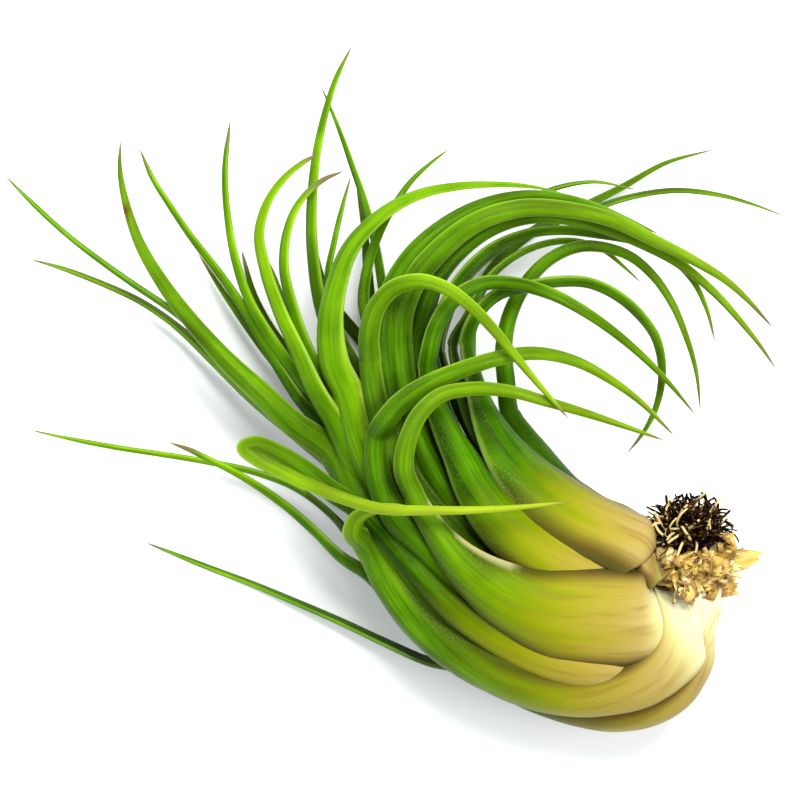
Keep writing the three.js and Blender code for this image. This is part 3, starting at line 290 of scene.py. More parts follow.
USUAL_LEAF = dict(
    clasp=1.4, taper=0.58, facing=0, wrap=(0.3, 0.6), green=(0.38, 0.47), yellow=(0.05, 0.2), dry=0.04,
    pale=0, neck=0, paper=(), spot=(0, 0, 0.001))
LEAF_ROWS = [
    dict(base=[(1, 76, 1), (2.4, 83, 1), (3.3, 87, 1), (4, 91.5, 1), (4.6, 97, 1), (5.1, 101, 1),
         (5.6, 103, 1), (7.1, 103, 1)],
         hold=[(1, 26), (2.4, 27), (3.3, 31), (4, 30), (4.6, 27), (5.2, 22), (7.1, 20)],
         paper=[(5.4, 6.5, 1), (6.6, 7.05, 1)],
         blade=[(-21.6, 16.5, 26.8), (-21, 20.5, 27.6), (-19.3, 24, 28), (-16.8, 26.2, 27.8),
         (-13, 27.1, 26.8), (-8, 26.9, 24.8), (-2, 25.3, 21), (4, 23.5, 17.5), (9, 21.8, 14.5),
         (13.5, 20.2, 12)],
         spread=20, half=1.15, green=(0.58, 0.65), yellow=(0.2, 0.45), dry=0.03, pale=0.35, neck=-0.45),
    dict(base=[(1, 87, 1.24), (1.5, 97, 1.14), (2, 108, 1.06), (2.6, 123, 1.02), (3, 130, 1), (3.6, 143, 1),
         (4.6, 153, 1), (5.6, 156, 1), (6.9, 149, 1)],
         hold=[(0.2, 82), (1, 74), (1.5, 56), (2, 42), (2.3, 33), (2.6, 27), (3.2, 22), (4, 19), (6.9, 19)],
         blade=[(-28.2, 8, 21.5), (-27.6, 9.9, 23.3), (-25.8, 10.9, 25), (-23.5, 11.3, 26.3),
         (-20.5, 11.4, 27.4)],
         spread=19, half=1.5, green=(0.55, 0.73), yellow=(0.15, 0.6), dry=0.08, pale=-0.2, facing=0.05),
    dict(base=[(1.25, 36, 0.72), (1.8, 33, 0.86), (2.3, 32, 0.92), (3.1, 34, 0.98), (4.4, 35, 1),
         (5.5, 38, 1), (6.5, 38, 1), (7.4, 36, 1), (8.4, 31, 1), (9.1, 26, 1)],
         hold=[(1.25, 11), (1.6, 19), (2.1, 28), (2.7, 29), (3.6, 27), (4.6, 24), (9.1, 23)],
         blade=[(-11.6, 37, 17), (-8.8, 39.6, 16.8), (-5, 40.6, 16.3), (-1, 41.3, 15.5), (3, 41.2, 14.5),
         (6.5, 39.8, 13.2), (9.8, 37.2, 11.8), (12.2, 34, 10.5), (13.1, 30.5, 9.2), (12.9, 26.5, 7.8),
         (12, 23.5, 6.6), (10.5, 20.8, 5.6), (8.7, 18.5, 5)],
         spread=23, half=1.2, clasp=0.3, green=(0.45, 0.47), yellow=(0.05, 0.25), dry=0.05, pale=1, neck=1.5,
         wrap=(-1, 0)),
    dict(base=[(0.9, 150, 1), (1.5, 156, 1), (2.2, 161, 1), (2.9, 171, 1), (3.7, 186, 1), (4.6, 197, 1),
         (5.2, 199, 1)],
         blade=[(-18, -9.9, 6.8), (-24, -7.4, 4.4), (-30, -4.6, 2.8), (-36, -2, 1.6), (-42, 0.5, 0.5),
         (-48, 2.8, 0.2), (-56.7, 6.3, 0.3)],
         spread=22, half=0.95, green=(0.57, 0.6), yellow=(0.1, 0.15), pale=-0.8, neck=0.6),
    dict(base=[(1, 266, 1), (2.5, 269, 1), (4.5, 270, 1), (6.2, 266, 1), (7.5, 254, 1)],
         blade=[(-27, 24, 1.3), (-33, 28, 0.9), (-38.3, 33.2, 0.6), (-41.8, 39.4, 0.55), (-43.6, 46, 0.55)],
         spread=26, half=1.2, green=(0.43, 0.42), yellow=(0.1, 0.2), dry=0.05),
    dict(base=[(1.7, 318, 1), (3.1, 317, 0.97), (4.5, 315, 1), (6.5, 312, 1), (7.8, 305, 1)],
         blade=[(-12.5, 31, 2.4), (-12, 38, 1.3), (-9, 44, 0.7), (-4, 48.5, 0.7), (2, 51.5, 1.2),
         (8, 54.5, 2), (14, 57.8, 3), (20.4, 59.6, 3)],
         spread=24, half=1, clasp=0.5, green=(0.48, 0.52), yellow=(0.1, 0.3), facing=0.06),
    dict(base=[(1.7, 112, 0.9), (3.2, 122, 0.89), (5.4, 130, 0.89), (6.6, 133, 0.89), (7.2, 140, 0.95)],
         blade=[(-31, 13.3, 20), (-35.2, 16.6, 20.6), (-38.6, 18.7, 21.5), (-41.4, 19.7, 22.4),
         (-42.7, 19.2, 23.4), (-41.5, 18.2, 24.3), (-38.4, 16.6, 25), (-34, 14.5, 25.9), (-29.8, 12.8, 27.1),
         (-25, 11.4, 28.6), (-18, 11.1, 29.6), (-9, 11.3, 30.2), (0.3, 12.2, 30.4)],
         spread=15, half=1.2, green=(0.34, 0.92), yellow=(0.05, 0.85), dry=0.02, pale=0.5, facing=0.12),
    dict(base=[(2, 54, 0.68), (3.2, 59, 0.72), (4.2, 64, 0.85), (5.1, 68, 0.9), (6.5, 68, 0.9),
         (7.4, 65, 0.9), (8.2, 66, 0.9), (8.8, 65, 0.92)],
         blade=[(-18, 32, 21.4), (-17, 35.6, 21.8), (-14.7, 39, 21.6), (-11.2, 41, 21), (-7, 41.1, 20),
         (-2, 39.8, 18.4), (3, 37.2, 16.4), (7, 34.4, 14.6), (11, 31, 12.8), (14, 28, 11.2), (17.7, 23.7, 9)],
         spread=19, half=1.1, clasp=0.8, green=(0.5, 0.53), yellow=(0.05, 0.3), pale=1, neck=1.5),
    dict(base=[(2.4, 350, 0.9), (3.6, 352, 0.9), (4.6, 364, 0.92), (5.8, 374, 0.94), (6.9, 364, 1),
         (7.6, 358, 1.05)],
         blade=[(-7.7, 28, 13), (-8.1, 32.5, 13), (-7.2, 37.3, 12.8), (-5, 41.5, 12.4), (-1.8, 44.7, 11.8),
         (2, 46.3, 11.2), (5.5, 46.2, 10.5), (9, 45, 9.7), (12, 42.5, 8.8), (14.5, 39, 7.8),
         (16.5, 34.5, 6.6), (18, 29.5, 5.4), (18.6, 24.2, 4.4)],
         spread=20, half=1.05, clasp=0.6, green=(0.49, 0.53), yellow=(0.05, 0.35), facing=0.07),
    dict(base=[(1.2, 165, 0.88), (2, 172, 0.9), (4.5, 174, 0.9), (6, 170, 0.95), (6.6, 168, 1)],
         blade=[(-30, 4.4, 14.6), (-33.3, 7.6, 13.4), (-37, 10.9, 12), (-41, 13.8, 10.6), (-44.5, 15.9, 9.4),
         (-47.5, 17.4, 8.6), (-50.5, 18.9, 8), (-53.2, 19.9, 8)],
         spread=18, half=1.25, green=(0.53, 0.64), yellow=(0.05, 0.15), dry=0.09),
    dict(base=[(1.6, 232, 0.89), (4.5, 232, 0.89), (6.5, 226, 0.92), (7.6, 218, 1)],
         blade=[(-36, 20.5, 4.6), (-42, 25.4, 3.6), (-47, 30.2, 2.9), (-52, 35, 2.4), (-56, 38.2, 2.1)],
         spread=20, half=1.1, dry=0.05),
    dict(base=[(1.6, 284, 0.89), (4.5, 287, 0.89), (6.5, 284, 0.9), (8, 278, 0.95)],
         blade=[(-22.5, 28, 1.6), (-27.5, 34, 1.1), (-32, 40, 0.6), (-33.8, 46, 0.3), (-34.1, 52, 0.3),
         (-33.6, 58, 0.5)],
         spread=22, half=1, dry=0.05),
    dict(base=[(2.2, 108, 0.8), (4.5, 113, 0.8), (6.4, 118, 0.82), (7.2, 121, 0.95), (7.7, 116, 1),
         (8, 110, 1.02)],
         blade=[(-24.2, 22.5, 25), (-22, 25.2, 25.8), (-18.5, 27.6, 26), (-14, 29.6, 25.2), (-9, 31.2, 23.3),
         (-4, 31.9, 20.8), (1, 31, 17.8), (6, 28.5, 14.6), (10.5, 25.2, 11.8), (14.8, 20.9, 9.5)],
         spread=15, half=1.25, green=(0.53, 0.67), yellow=(0.1, 0.45), pale=0.3, facing=0.05),
    dict(base=[(2.2, 152, 0.8), (4.5, 152, 0.8), (6.5, 148, 0.82), (7.5, 148, 0.92), (8, 158, 0.95)],
         blade=[(-36.5, 22.5, 17.2), (-41, 26.8, 16.2), (-45.5, 31, 14.8), (-50, 36, 13.2), (-54, 41.3, 11.8),
         (-57.3, 47, 10.4), (-59, 52, 9.4), (-59.9, 57, 8.6), (-59.8, 60.6, 8.2)],
         spread=18, half=1.55, clasp=1, green=(0.57, 0.56), yellow=(0.15, 0.3), dry=0.025, taper=0.62,
         facing=0.05, spot=(-59.1, 50.9, 1.1)),
    dict(base=[(2.2, 196, 0.8), (4.5, 194, 0.8), (6.4, 190, 0.88), (7, 186, 0.96)],
         blade=[(-31, 9.8, 8.6), (-36, 13.6, 6.6), (-42, 15.9, 4.9), (-48, 17.2, 3.8), (-54, 18.2, 3),
         (-60, 19.1, 2.5), (-66, 20.2, 2.2), (-72.5, 21.6, 2)],
         spread=17, half=0.85, green=(0.55, 0.68), yellow=(0.05, 0.25)),
    dict(base=[(2.2, 252, 0.78), (4.5, 252, 0.78), (6.5, 245, 0.8), (7.8, 236, 0.9)],
         blade=[(-33, 24, 3.6), (-39, 30.5, 3), (-44.6, 38, 2.5), (-49.5, 45.5, 2.2)],
         spread=17, half=1, dry=0.05),
    dict(base=[(2.8, 300, 0.78), (4.5, 302, 0.76), (6.5, 300, 0.78), (8, 295, 0.8), (9, 290, 0.8)],
         blade=[(-20, 38, 3.6), (-18, 44, 3), (-13.5, 48.8, 2.7), (-7, 51.8, 2.7), (0, 52, 3)],
         spread=17, half=1, dry=0.05),
    dict(base=[(2.9, 338, 0.75), (4.5, 338, 0.75), (6.5, 335, 0.75), (8, 330, 0.72), (9, 325, 0.7)],
         blade=[(-15.5, 37, 7.4), (-13, 42, 6.8), (-8.5, 46, 6.4), (-3, 48.8, 6.2), (3, 51, 6.4),
         (9, 53, 6.7), (15, 53.9, 7), (21, 53.3, 7.2), (26, 51.9, 7.2), (30, 50.4, 7)],
         spread=16, half=0.8, clasp=0.6, green=(0.41, 0.57), yellow=(0.05, 0.3)),
    dict(base=[(2.6, 222, 0.72), (4.5, 218, 0.72), (6.5, 208, 0.78), (7.6, 200, 0.92), (8.1, 196, 1.02)],
         blade=[(-37.5, 22, 9), (-42, 25.8, 8.4), (-47, 30.6, 7.8), (-52, 35.3, 7.2), (-57, 38.8, 6.6),
         (-62.5, 41.4, 6.1), (-68, 43.5, 5.6), (-72.2, 44.7, 5.3)],
         spread=15, half=1.05, green=(0.48, 0.55), yellow=(0.05, 0.35)),
    dict(base=[(2.9, 15, 0.7), (4.6, 15, 0.72), (6.5, 20, 0.75), (8, 25, 0.75), (9.1, 12, 0.75)],
         blade=[(-12.8, 37, 12.5), (-10.8, 41, 11.6), (-7.5, 44.3, 10.8), (-3, 46.5, 10), (1.5, 47, 9.3),
         (5, 46, 8.7), (8, 43.7, 8.1), (10.4, 41.5, 7.7)],
         spread=16, half=0.8, clasp=0.6, green=(0.41, 0.52), yellow=(0.05, 0.3)),
    dict(base=[(2.8, 95, 0.66), (4.5, 100, 0.66), (6.5, 106, 0.7), (8, 108, 0.86), (9, 107, 0.95)],
         blade=[(-26.3, 34, 23), (-25.2, 38, 24.6), (-22.8, 40.5, 26), (-19.5, 41.3, 27), (-16, 40.3, 27.4),
         (-13, 38.2, 27.2), (-10, 35.2, 26.5), (-7.5, 32.2, 25.4), (-4.5, 28.6, 23.6), (0.3, 23.2, 21)],
         spread=16, half=1.2, green=(0.58, 0.73), yellow=(0.15, 0.5), pale=0.3),
    dict(base=[(2.8, 130, 0.66), (4.5, 130, 0.66), (6.5, 130, 0.7), (7.8, 131, 0.84), (8.6, 132, 0.92)],
         blade=[(-31.2, 30, 20), (-31.8, 36, 19.8), (-30.8, 41.5, 19.3), (-29, 46, 18.7), (-26.5, 49, 18.2),
         (-23, 51.7, 17.6), (-19, 53.5, 16.9), (-15, 54.3, 16.2), (-10, 54.6, 15.4), (-4, 54.2, 14.6),
         (1.5, 52.9, 13.9)],
         spread=17, half=2.2, green=(0.7, 0.75), yellow=(0.15, 0.2), dry=0.03, taper=1.05),
    dict(base=[(2.8, 158, 0.64), (4.5, 156, 0.62), (6.5, 150, 0.66), (7.8, 146, 0.85), (8.3, 147, 0.95)],
         blade=[(-33.6, 26.6, 18.6), (-36, 32, 18.2), (-38.4, 37.4, 17.7), (-40.3, 43, 17.2),
         (-41.1, 48, 16.8), (-40, 52, 16.6), (-38, 55, 16.4), (-35.2, 57.4, 16.2), (-32.9, 58.7, 16)],
         spread=14, half=1.6, green=(0.63, 0.75), yellow=(0.15, 0.3)),
    dict(base=[(2.8, 182, 0.62), (4.5, 180, 0.6), (6.5, 174, 0.66), (7.6, 169, 0.8), (8.2, 168, 0.9)],
         blade=[(-36, 26, 13.6), (-39.8, 32, 12.8), (-43.5, 38.3, 11.9), (-47, 43.3, 11), (-50, 47.2, 10.2),
         (-53, 51.6, 9.4), (-55.5, 55.6, 8.8), (-57.2, 59.5, 8.4)],
         spread=14, half=1.4, green=(0.5, 0.59), yellow=(0.05, 0.15)),
    dict(base=[(2.8, 206, 0.6), (4.5, 205, 0.58), (6.5, 196, 0.66), (7.6, 188, 0.86), (8.1, 184, 0.98)],
         blade=[(-38, 24, 11.6), (-43, 28.8, 11.2), (-48, 33.6, 10.6), (-53, 37.8, 9.9), (-58, 41.2, 9.2),
         (-62.5, 44.4, 8.6), (-67, 47.9, 8.1), (-71.5, 52, 7.6), (-75.5, 56, 7.2)],
         spread=14, half=1.15, green=(0.54, 0.59), yellow=(0.05, 0.1), dry=0.02),
    dict(base=[(2.8, 235, 0.58), (4.5, 232, 0.56), (6.5, 222, 0.6), (8, 208, 0.7), (8.6, 200, 0.78)],
         blade=[(-34.5, 31, 8.6), (-37.4, 37.5, 8), (-39.6, 44, 7.6)],
         spread=14, half=0.9, dry=0.05),
    dict(base=[(2.8, 278, 0.62), (4.5, 276, 0.6), (6.5, 272, 0.6), (8, 262, 0.6), (9, 255, 0.6)],
         blade=[(-26, 37, 5.2), (-26.5, 43, 4.6), (-27, 49, 4.3), (-28, 55, 4.2)],
         spread=16, half=0.9, dry=0.05),
    dict(base=[(3.2, 118, 0.5), (4.5, 116, 0.5), (6.5, 108, 0.56), (8, 100, 0.72), (9, 97, 0.84)],
         blade=[(-24.3, 35.5, 20.8), (-23.2, 40.5, 20.4), (-20.6, 45, 19.8), (-16.5, 48.8, 19),
         (-11.2, 51.7, 18), (-5.5, 53, 17), (0, 52.7, 15.9), (5, 51.3, 14.8), (9, 49.6, 13.8),
         (12.5, 48, 13)],
         spread=15, half=1.35, green=(0.48, 0.59), yellow=(0.1, 0.2), dry=0.03),
    dict(base=[(3.2, 80, 0.5), (4.5, 80, 0.5), (6.5, 84, 0.56), (8, 86, 0.7), (9.2, 84, 0.8)],
         blade=[(-22, 37, 20.6), (-20.3, 41.3, 20.6), (-17, 45.4, 20.4), (-12, 49.3, 19.9), (-6, 51.2, 19.2),
         (0, 51.1, 18.4), (6, 49.8, 17.2), (12, 47, 15.6), (18, 44, 13.8), (22, 41.5, 12.4), (25, 38.8, 11.2),
         (28.1, 35.4, 10)],
         spread=15, half=1.5, green=(0.53, 0.59), yellow=(0.1, 0.45)),
    dict(base=[(3.4, 50, 0.5), (4.6, 50, 0.52), (6.5, 58, 0.55), (8, 64, 0.56), (9.2, 60, 0.52)],
         blade=[(-19.2, 37, 16.8), (-17.5, 41, 16.8), (-14.5, 45, 16.7), (-10, 48.4, 16.5),
         (-4.5, 50.1, 16.1), (1, 49.8, 15.5), (6, 48.4, 14.6), (11, 46.3, 13.4), (15, 44.2, 12.2),
         (18, 42, 11.2), (21, 39.3, 10), (24, 36, 8.8), (27, 32.3, 7.6), (28.7, 29.8, 6.9)],
         spread=15, half=1.3, green=(0.45, 0.53), yellow=(0.05, 0.4)),
    dict(base=[(3.4, 18, 0.5), (4.6, 20, 0.5), (6.5, 28, 0.5), (8, 32, 0.52), (9.2, 25, 0.55)],
         blade=[(-16, 38, 14.4), (-13.5, 42.2, 14), (-10, 45.6, 13.6), (-5, 47.8, 13.2), (0, 48.3, 12.8),
         (5, 47.7, 12.3), (9, 47, 11.8), (12, 46, 11.2), (15, 44.1, 10.4), (17.5, 41.4, 9.5), (19.2, 38, 8.6),
         (20.4, 33.6, 7.6)],
         spread=15, half=1.1, clasp=0.8, green=(0.41, 0.49), yellow=(0.05, 0.25)),
    dict(base=[(3.2, 148, 0.46), (4.5, 146, 0.46), (6.5, 140, 0.54), (7.8, 142, 0.7), (8.4, 148, 0.78)],
         blade=[(-32.4, 27.5, 16.6), (-34.8, 32.5, 16.2), (-36.6, 37.8, 15.8), (-37.8, 43.5, 15.5),
         (-37.4, 48, 15.2), (-36, 51.6, 15), (-34, 54, 14.8), (-32, 55.4, 14.7), (-29.7, 56.3, 14.6)],
         spread=14, half=1.3, green=(0.58, 0.64), yellow=(0.1, 0.25), dry=0.1),
    dict(base=[(3.2, 176, 0.42), (4.5, 172, 0.44), (6.5, 160, 0.5), (7.8, 158, 0.68), (8.4, 160, 0.8)],
         blade=[(-34, 26.5, 15.4), (-37.2, 30.5, 14.9), (-40, 34.6, 14.4), (-42.5, 39, 13.7),
         (-44.2, 44, 12.8), (-45.3, 50, 11.8), (-45.7, 56, 10.8), (-45, 63.2, 9.8)],
         spread=14, half=1.3, green=(0.53, 0.61), yellow=(0.1, 0.15), dry=0.06),
    dict(base=[(3.4, 125, 0.36), (4.6, 128, 0.36), (6.5, 132, 0.4), (8, 138, 0.5), (8.8, 142, 0.6)],
         blade=[(-31, 33, 14.6), (-33, 38.5, 13.6), (-33.9, 44, 12.9), (-34.2, 49, 12.4), (-34, 54, 12),
         (-33.4, 59, 11.6), (-32.3, 64, 11.2), (-30.7, 69, 10.8), (-28.6, 73.3, 10.5)],
         spread=14, half=1.25, green=(0.48, 0.59), yellow=(0.1, 0.2), dry=0.03),
    dict(base=[(3.6, 80, 0.3), (5, 84, 0.3), (7, 92, 0.36), (8.8, 100, 0.4)],
         blade=[(-26, 35, 15), (-27, 38.5, 14.2), (-26.6, 43, 13.6), (-25.2, 47.5, 13.1), (-22.8, 52, 12.6),
         (-20.5, 55.2, 12.2), (-18, 57.5, 11.9), (-15.5, 59.4, 11.7)],
         spread=15, half=0.9, green=(0.48, 0.59), yellow=(0.1, 0.2), dry=0.03),
    dict(base=[(3.6, 180, 0.3), (5, 175, 0.3), (7, 162, 0.36), (8.6, 152, 0.4)],
         blade=[(-29.5, 33, 11.6), (-31.4, 38, 10.4), (-31.9, 42, 9.8), (-31, 47, 9.4), (-29.8, 52, 9.1),
         (-28.7, 56, 8.9)],
         spread=15, half=0.8, green=(0.48, 0.59), yellow=(0.1, 0.2), dry=0.05),
    dict(base=[(3.4, 340, 0.44), (4.8, 342, 0.42), (6.5, 350, 0.44), (8, 352, 0.46), (9.2, 345, 0.5)],
         blade=[(-17.5, 38.5, 10.8), (-15.5, 43.5, 10.6), (-11.5, 48.3, 10.4), (-6, 52, 10.3),
         (-1, 54.2, 10.3), (4, 55, 10.3), (9.5, 54, 10.2)],
         spread=15, half=0.7, clasp=0.8, green=(0.51, 0.62), yellow=(0.1, 0.25), dry=0.03),
    dict(base=[(3.8, 235, 0.25), (5, 225, 0.2), (7, 170, 0.16), (8.8, 130, 0.2)],
         blade=[(-24, 36, 11), (-24.6, 41, 9.6), (-25.6, 47, 8.7), (-27, 52.5, 8.1), (-28.6, 57.2, 7.7),
         (-30.1, 61.5, 7.4), (-31.6, 65.3, 7.2), (-32.9, 68.3, 7.1)],
         spread=16, half=0.8, green=(0.45, 0.55), yellow=(0.05, 0.15)),
    dict(base=[(3.9, 300, 0.22), (5.2, 300, 0.2), (7, 300, 0.2), (9.2, 300, 0.22)],
         blade=[(-22.2, 38, 9.4), (-20.5, 43.5, 8.6), (-16.5, 47.5, 8), (-11, 50.3, 7.7)],
         spread=16, half=0.7, green=(0.48, 0.57), dry=0.03),
]
LEAVES = [{**USUAL_LEAF, **row} for row in LEAF_ROWS]
THICKEST = 1.3
EDGE_THICK = 0.6
THICKENS = 0.35
TIP_THINS = 0.35
LEAF_SEAT = 0.3 + THICKEST / 2
SHEATH_STEP = 0.5
BLADE_FULL = 1.12
BLADE_FLARE = 1.15
FLARE_END = 0.4
PAST_TIP = 1.002
CLASP_END = 0.35
BASE_TAPER = (0.45, 1.0)
NARROWEST_SHEATH = 1.2
CHANNEL = 0.35
RIDGE = 0.75
RIDGE_GROWS = (0.0, 0.25)
RIDGE_FADES = (0.75, 1.15)
TUCK = 0.9
TUCK_FULL_AT = 3.0
TUCK_FADES = (0.6, 1.0)
UNDER_COLLAR = 0.8
TURN_FROM = 0.62
PLACE_AHEAD = 0.05
FINE_STEPS = 1200
TINY = 1e-6
SECTIONS = 130
ROUND = 22
SPOT_CORE = 0.3
STRIP_FADE = 0.2
STRIP_EDGE = (0.84, 0.95)


def ring_turns(around):
    """The angle of each corner of a ring: 2 pi (j + 1/2) / n."""
    return 2 * np.pi * (np.arange(around) + 0.5) / around


def leaf_thickness(half):
    """0.6 + 0.35 h for a half-width h, 1.3 mm at most, and in proportion to h where h is under 0.35 mm."""
    return np.minimum(THICKEST, EDGE_THICK + THICKENS * half) * np.minimum(1, half / TIP_THINS)


def leaf_line(leaf):
    """A leaf's middle line as knots: points, distances along it, outward directions, and on its base a
    guide of station, angle, distance from the axis and layer radius. The base starts a little lower than
    its row says, under the collar, and stays outside the stem."""
    base = np.array(leaf["base"], dtype=float)
    base = np.vstack([base[:1], base])
    base[0, 0] -= UNDER_COLLAR
    share = base[:, 1:].copy()
    share[:2, 1] = np.minimum(1.0, (stem_radius(base[:2, 0]) + LEAF_SEAT) / axis_at(base[:2, 0])[1])
    count = max(3, round((base[-1, 0] - base[0, 0]) / SHEATH_STEP))
    station = np.linspace(base[0, 0], base[-1, 0], count + 1)
    degrees, layer = curve_through(share, base[:, 0], station).T
    angle = np.radians(degrees)
    middle, radius, inner = axis_at(station)
    reach = layer * radius - THICKEST / 2
    distance = np.maximum(reach, stem_radius(station) + LEAF_SEAT)
    outward = unit(inner * BULB_FLATNESS * np.cos(angle)[:, None] + UPWARD * np.sin(angle)[:, None])
    points = np.vstack([round_axis(middle, inner, distance, angle), leaf["blade"]])
    run = np.concatenate([[0], np.cumsum(np.linalg.norm(np.diff(points, axis=0), axis=1))])
    return points, run, outward, np.column_stack([station, angle, distance, np.maximum(reach, 1)])


def leaf_places(points, run):
    """Distances along a leaf, half of them spread by length and half by how much it turns."""
    fine = np.linspace(0, run[-1], FINE_STEPS)
    heading = unit(np.diff(curve_through(points, run, fine), axis=0))
    turn = np.arccos(np.clip((heading[1:] * heading[:-1]).sum(axis=1), -1, 1))
    turn = np.concatenate([[0, 0], np.cumsum(turn)])
    measure = (fine / run[-1] + turn / turn[-1]) / 2
    return np.interp(np.linspace(0, 1, SECTIONS + 1), measure, fine)


def leaf_half_width(leaf, base_share, blade_share, guide):
    """Sheath: r spread c, with c = clasp on the stem and 1 further on, or d hold; it blends to the blade's
    foot. Blade: 1.12 half (1 + 0.15 (1 - s)) (1.002 - b)^taper, with b the share of the blade and s a
    smooth step of b."""
    full = leaf["half"] * BLADE_FULL
    flare = 1 + (BLADE_FLARE - 1) * (1 - smooth_step(0, FLARE_END, blade_share))
    blade = full * flare * (PAST_TIP - blade_share) ** leaf["taper"]
    f = np.clip(base_share, 0, 1)
    clasp = leaf["clasp"] + (1 - leaf["clasp"]) * smooth_step(0, CLASP_END, f)
    sheath = np.maximum(NARROWEST_SHEATH, guide[:, 3] * math.radians(leaf["spread"]) * clasp)
    if "hold" in leaf:
        sheath = guide[:, 2] * np.radians(np.interp(guide[:, 0], *np.array(leaf["hold"], dtype=float).T))
    foot = sheath + (full * BLADE_FLARE - sheath) * smooth_step(*BASE_TAPER, f)
    return np.where(base_share >= 1, blade, foot)


def leaf_frames(points, run, outward, place, facing):
    """Point, side and outward face at each place: the sheath faces out of the bulb, and the blade's face is
    carried on from there, n -> m - (m.h) h with m = n + facing up, so facing turns it slowly upwards, which
    starts at 0.62 of the base."""
    here = curve_through(points, run, place)
    heading = unit(curve_through(points, run, place + PLACE_AHEAD) - here)
    heading[-1] = heading[-2]
    base_end = run[len(outward) - 1]
    face = curve_through(outward, run[:len(outward)], np.minimum(place, base_end))
    first_free = int(np.searchsorted(place, base_end * (TURN_FROM if facing else 1.0)))
    for i in range(first_free, len(place)):
        turned = face[i - 1] + facing * UPWARD
        face[i] = turned - heading[i] * (turned @ heading[i])
        face[i] /= np.linalg.norm(face[i])
    face = unit(face - heading * (face * heading).sum(axis=1, keepdims=True))
    return here, unit(np.cross(heading, face)), face


def skin_marks(leaf, corners, along, across, inside, half):
    """What the leaf's skin reads at each corner. A tone runs straight from the base's value to the tip's,
    the dried tip comes on from 2 to 0.4 times its share of the blade, and a spot and a paper strip fade at
    their rims."""
    station, blade = along["station"], along["blade"]
    for name in ("green", "yellow"):
        along[name] = leaf[name][0] + (leaf[name][1] - leaf[name][0]) * blade
    for name in ("pale", "neck"):
        along[name] = np.full(len(blade), float(leaf[name]))
    along["dried"] = smooth_step(1 - 2 * leaf["dry"], 1 - 0.4 * leaf["dry"], blade)
    marks = {name: np.repeat(value[:, None], ROUND, axis=1) for name, value in along.items()}
    marks["across"] = np.repeat(across[None, :], len(blade), axis=0)
    marks["inside"] = np.repeat(inside[None, :], len(blade), axis=0)
    marks["girth"] = marks["across"] * half[:, None]
    spot_x, spot_y, spot_size = leaf["spot"]
    away = np.hypot(corners[..., 0] - spot_x, corners[..., 1] - spot_y)
    marks["spot"] = 1 - smooth_step(SPOT_CORE * spot_size, spot_size, away)
    marks["paper"] = np.zeros(away.shape)
    for low, high, edge in leaf["paper"]:
        opening = smooth_step(low, low + STRIP_FADE, station)
        closing = 1 - smooth_step(high - STRIP_FADE, high, station)
        marks["paper"] += (opening * closing)[:, None] * smooth_step(*STRIP_EDGE, edge * across)
    return marks


def leaf_surface(leaf):
    """Corners on a grid of sections and turns t round them, and their marks. Across the leaf u = -cos t,
    and the height is -c u^2 + (thickness / 2) sin t, c the channel's depth. A base adds a ridge g (1 - u^2)
    outside, and tucks its edges in by k u^4. Near the stem the section bends round the axis instead, turned
    by -u half / d."""
    points, run, outward, guide = leaf_line(leaf)
    place = leaf_places(points, run)
    base_end = run[len(guide) - 1]
    guide = curve_through(guide, run[:len(guide)], np.minimum(place, base_end))
    f = place / base_end
    blade_share = np.clip((place - base_end) / (run[-1] - base_end), 0, 1)
    here, side, face = leaf_frames(points, run, outward, place, leaf["facing"])
    half = leaf_half_width(leaf, f, blade_share, guide)
    curl = np.where(f <= 1, guide[:, 3], half)
    channel = np.minimum(half * CHANNEL, half * half / (2 * np.maximum(curl, TINY)))
    t = ring_turns(ROUND)
    u = -np.cos(t)
    ridge = RIDGE * smooth_step(*RIDGE_GROWS, f) * (1 - smooth_step(*RIDGE_FADES, f))
    tuck = TUCK * np.minimum(1, half / TUCK_FULL_AT) * (1 - smooth_step(*TUCK_FADES, f))
    skin = ridge[:, None] * (1 - u * u) * (np.sin(t) > 0) - tuck[:, None] * u ** 4
    skin += 0.5 * leaf_thickness(half)[:, None] * np.sin(t)
    lift = skin - channel[:, None] * u * u
    free = here[:, None] + side[:, None] * (half[:, None] * u)[..., None] + face[:, None] * lift[..., None]
    middle, _, inner = axis_at(guide[:, 0])
    angle = guide[:, 1, None] - u * half[:, None] / guide[:, 2, None]
    bent = round_axis(middle[:, None], inner[:, None], guide[:, 2, None] + skin, angle)
    corners = bent + (free - bent) * smooth_step(*leaf["wrap"], f)[:, None, None]
    along = dict(station=guide[:, 0], blade=blade_share, run=place)
    return corners, skin_marks(leaf, corners, along, u, (np.sin(t) < 0).astype(float), half)


def tube_faces(rings, around):
    """Quads of a grid that closes round itself: (i, j) (i, j+1) (i+1, j+1) (i+1, j)."""
    i, j = np.meshgrid(np.arange(rings - 1), np.arange(around), indexing="ij")
    a = i * around + j
    b = i * around + (j + 1) % around
    return np.stack([a, b, b + around, a + around], axis=-1).reshape(-1, 4)


def end_faces(around, first, flip):
    """A flat end as quads across a ring of an even count: corners j, j+1 against their mirror images."""
    j = np.arange(around // 2 - 1)
    quads = np.stack([j, j + 1, around - 2 - j, around - 1 - j], axis=-1)
    return (quads[:, ::-1] if flip else quads) + first


def closed_tube(rings, around, first=0):
    """The faces of a tube and of its two flat ends, counted from its first corner."""
    ends = [end_faces(around, 0, True), end_faces(around, (rings - 1) * around, False)]
    return np.vstack([tube_faces(rings, around), *ends]) + first


def write_marks(piece, marks):
    """Each mark is written as a number at every corner of the mesh."""
    for name, value in marks.items():
        layer = piece.data.attributes.new(name, "FLOAT", "POINT")
        layer.data.foreach_set("value", np.asarray(value, dtype=np.float32).ravel())


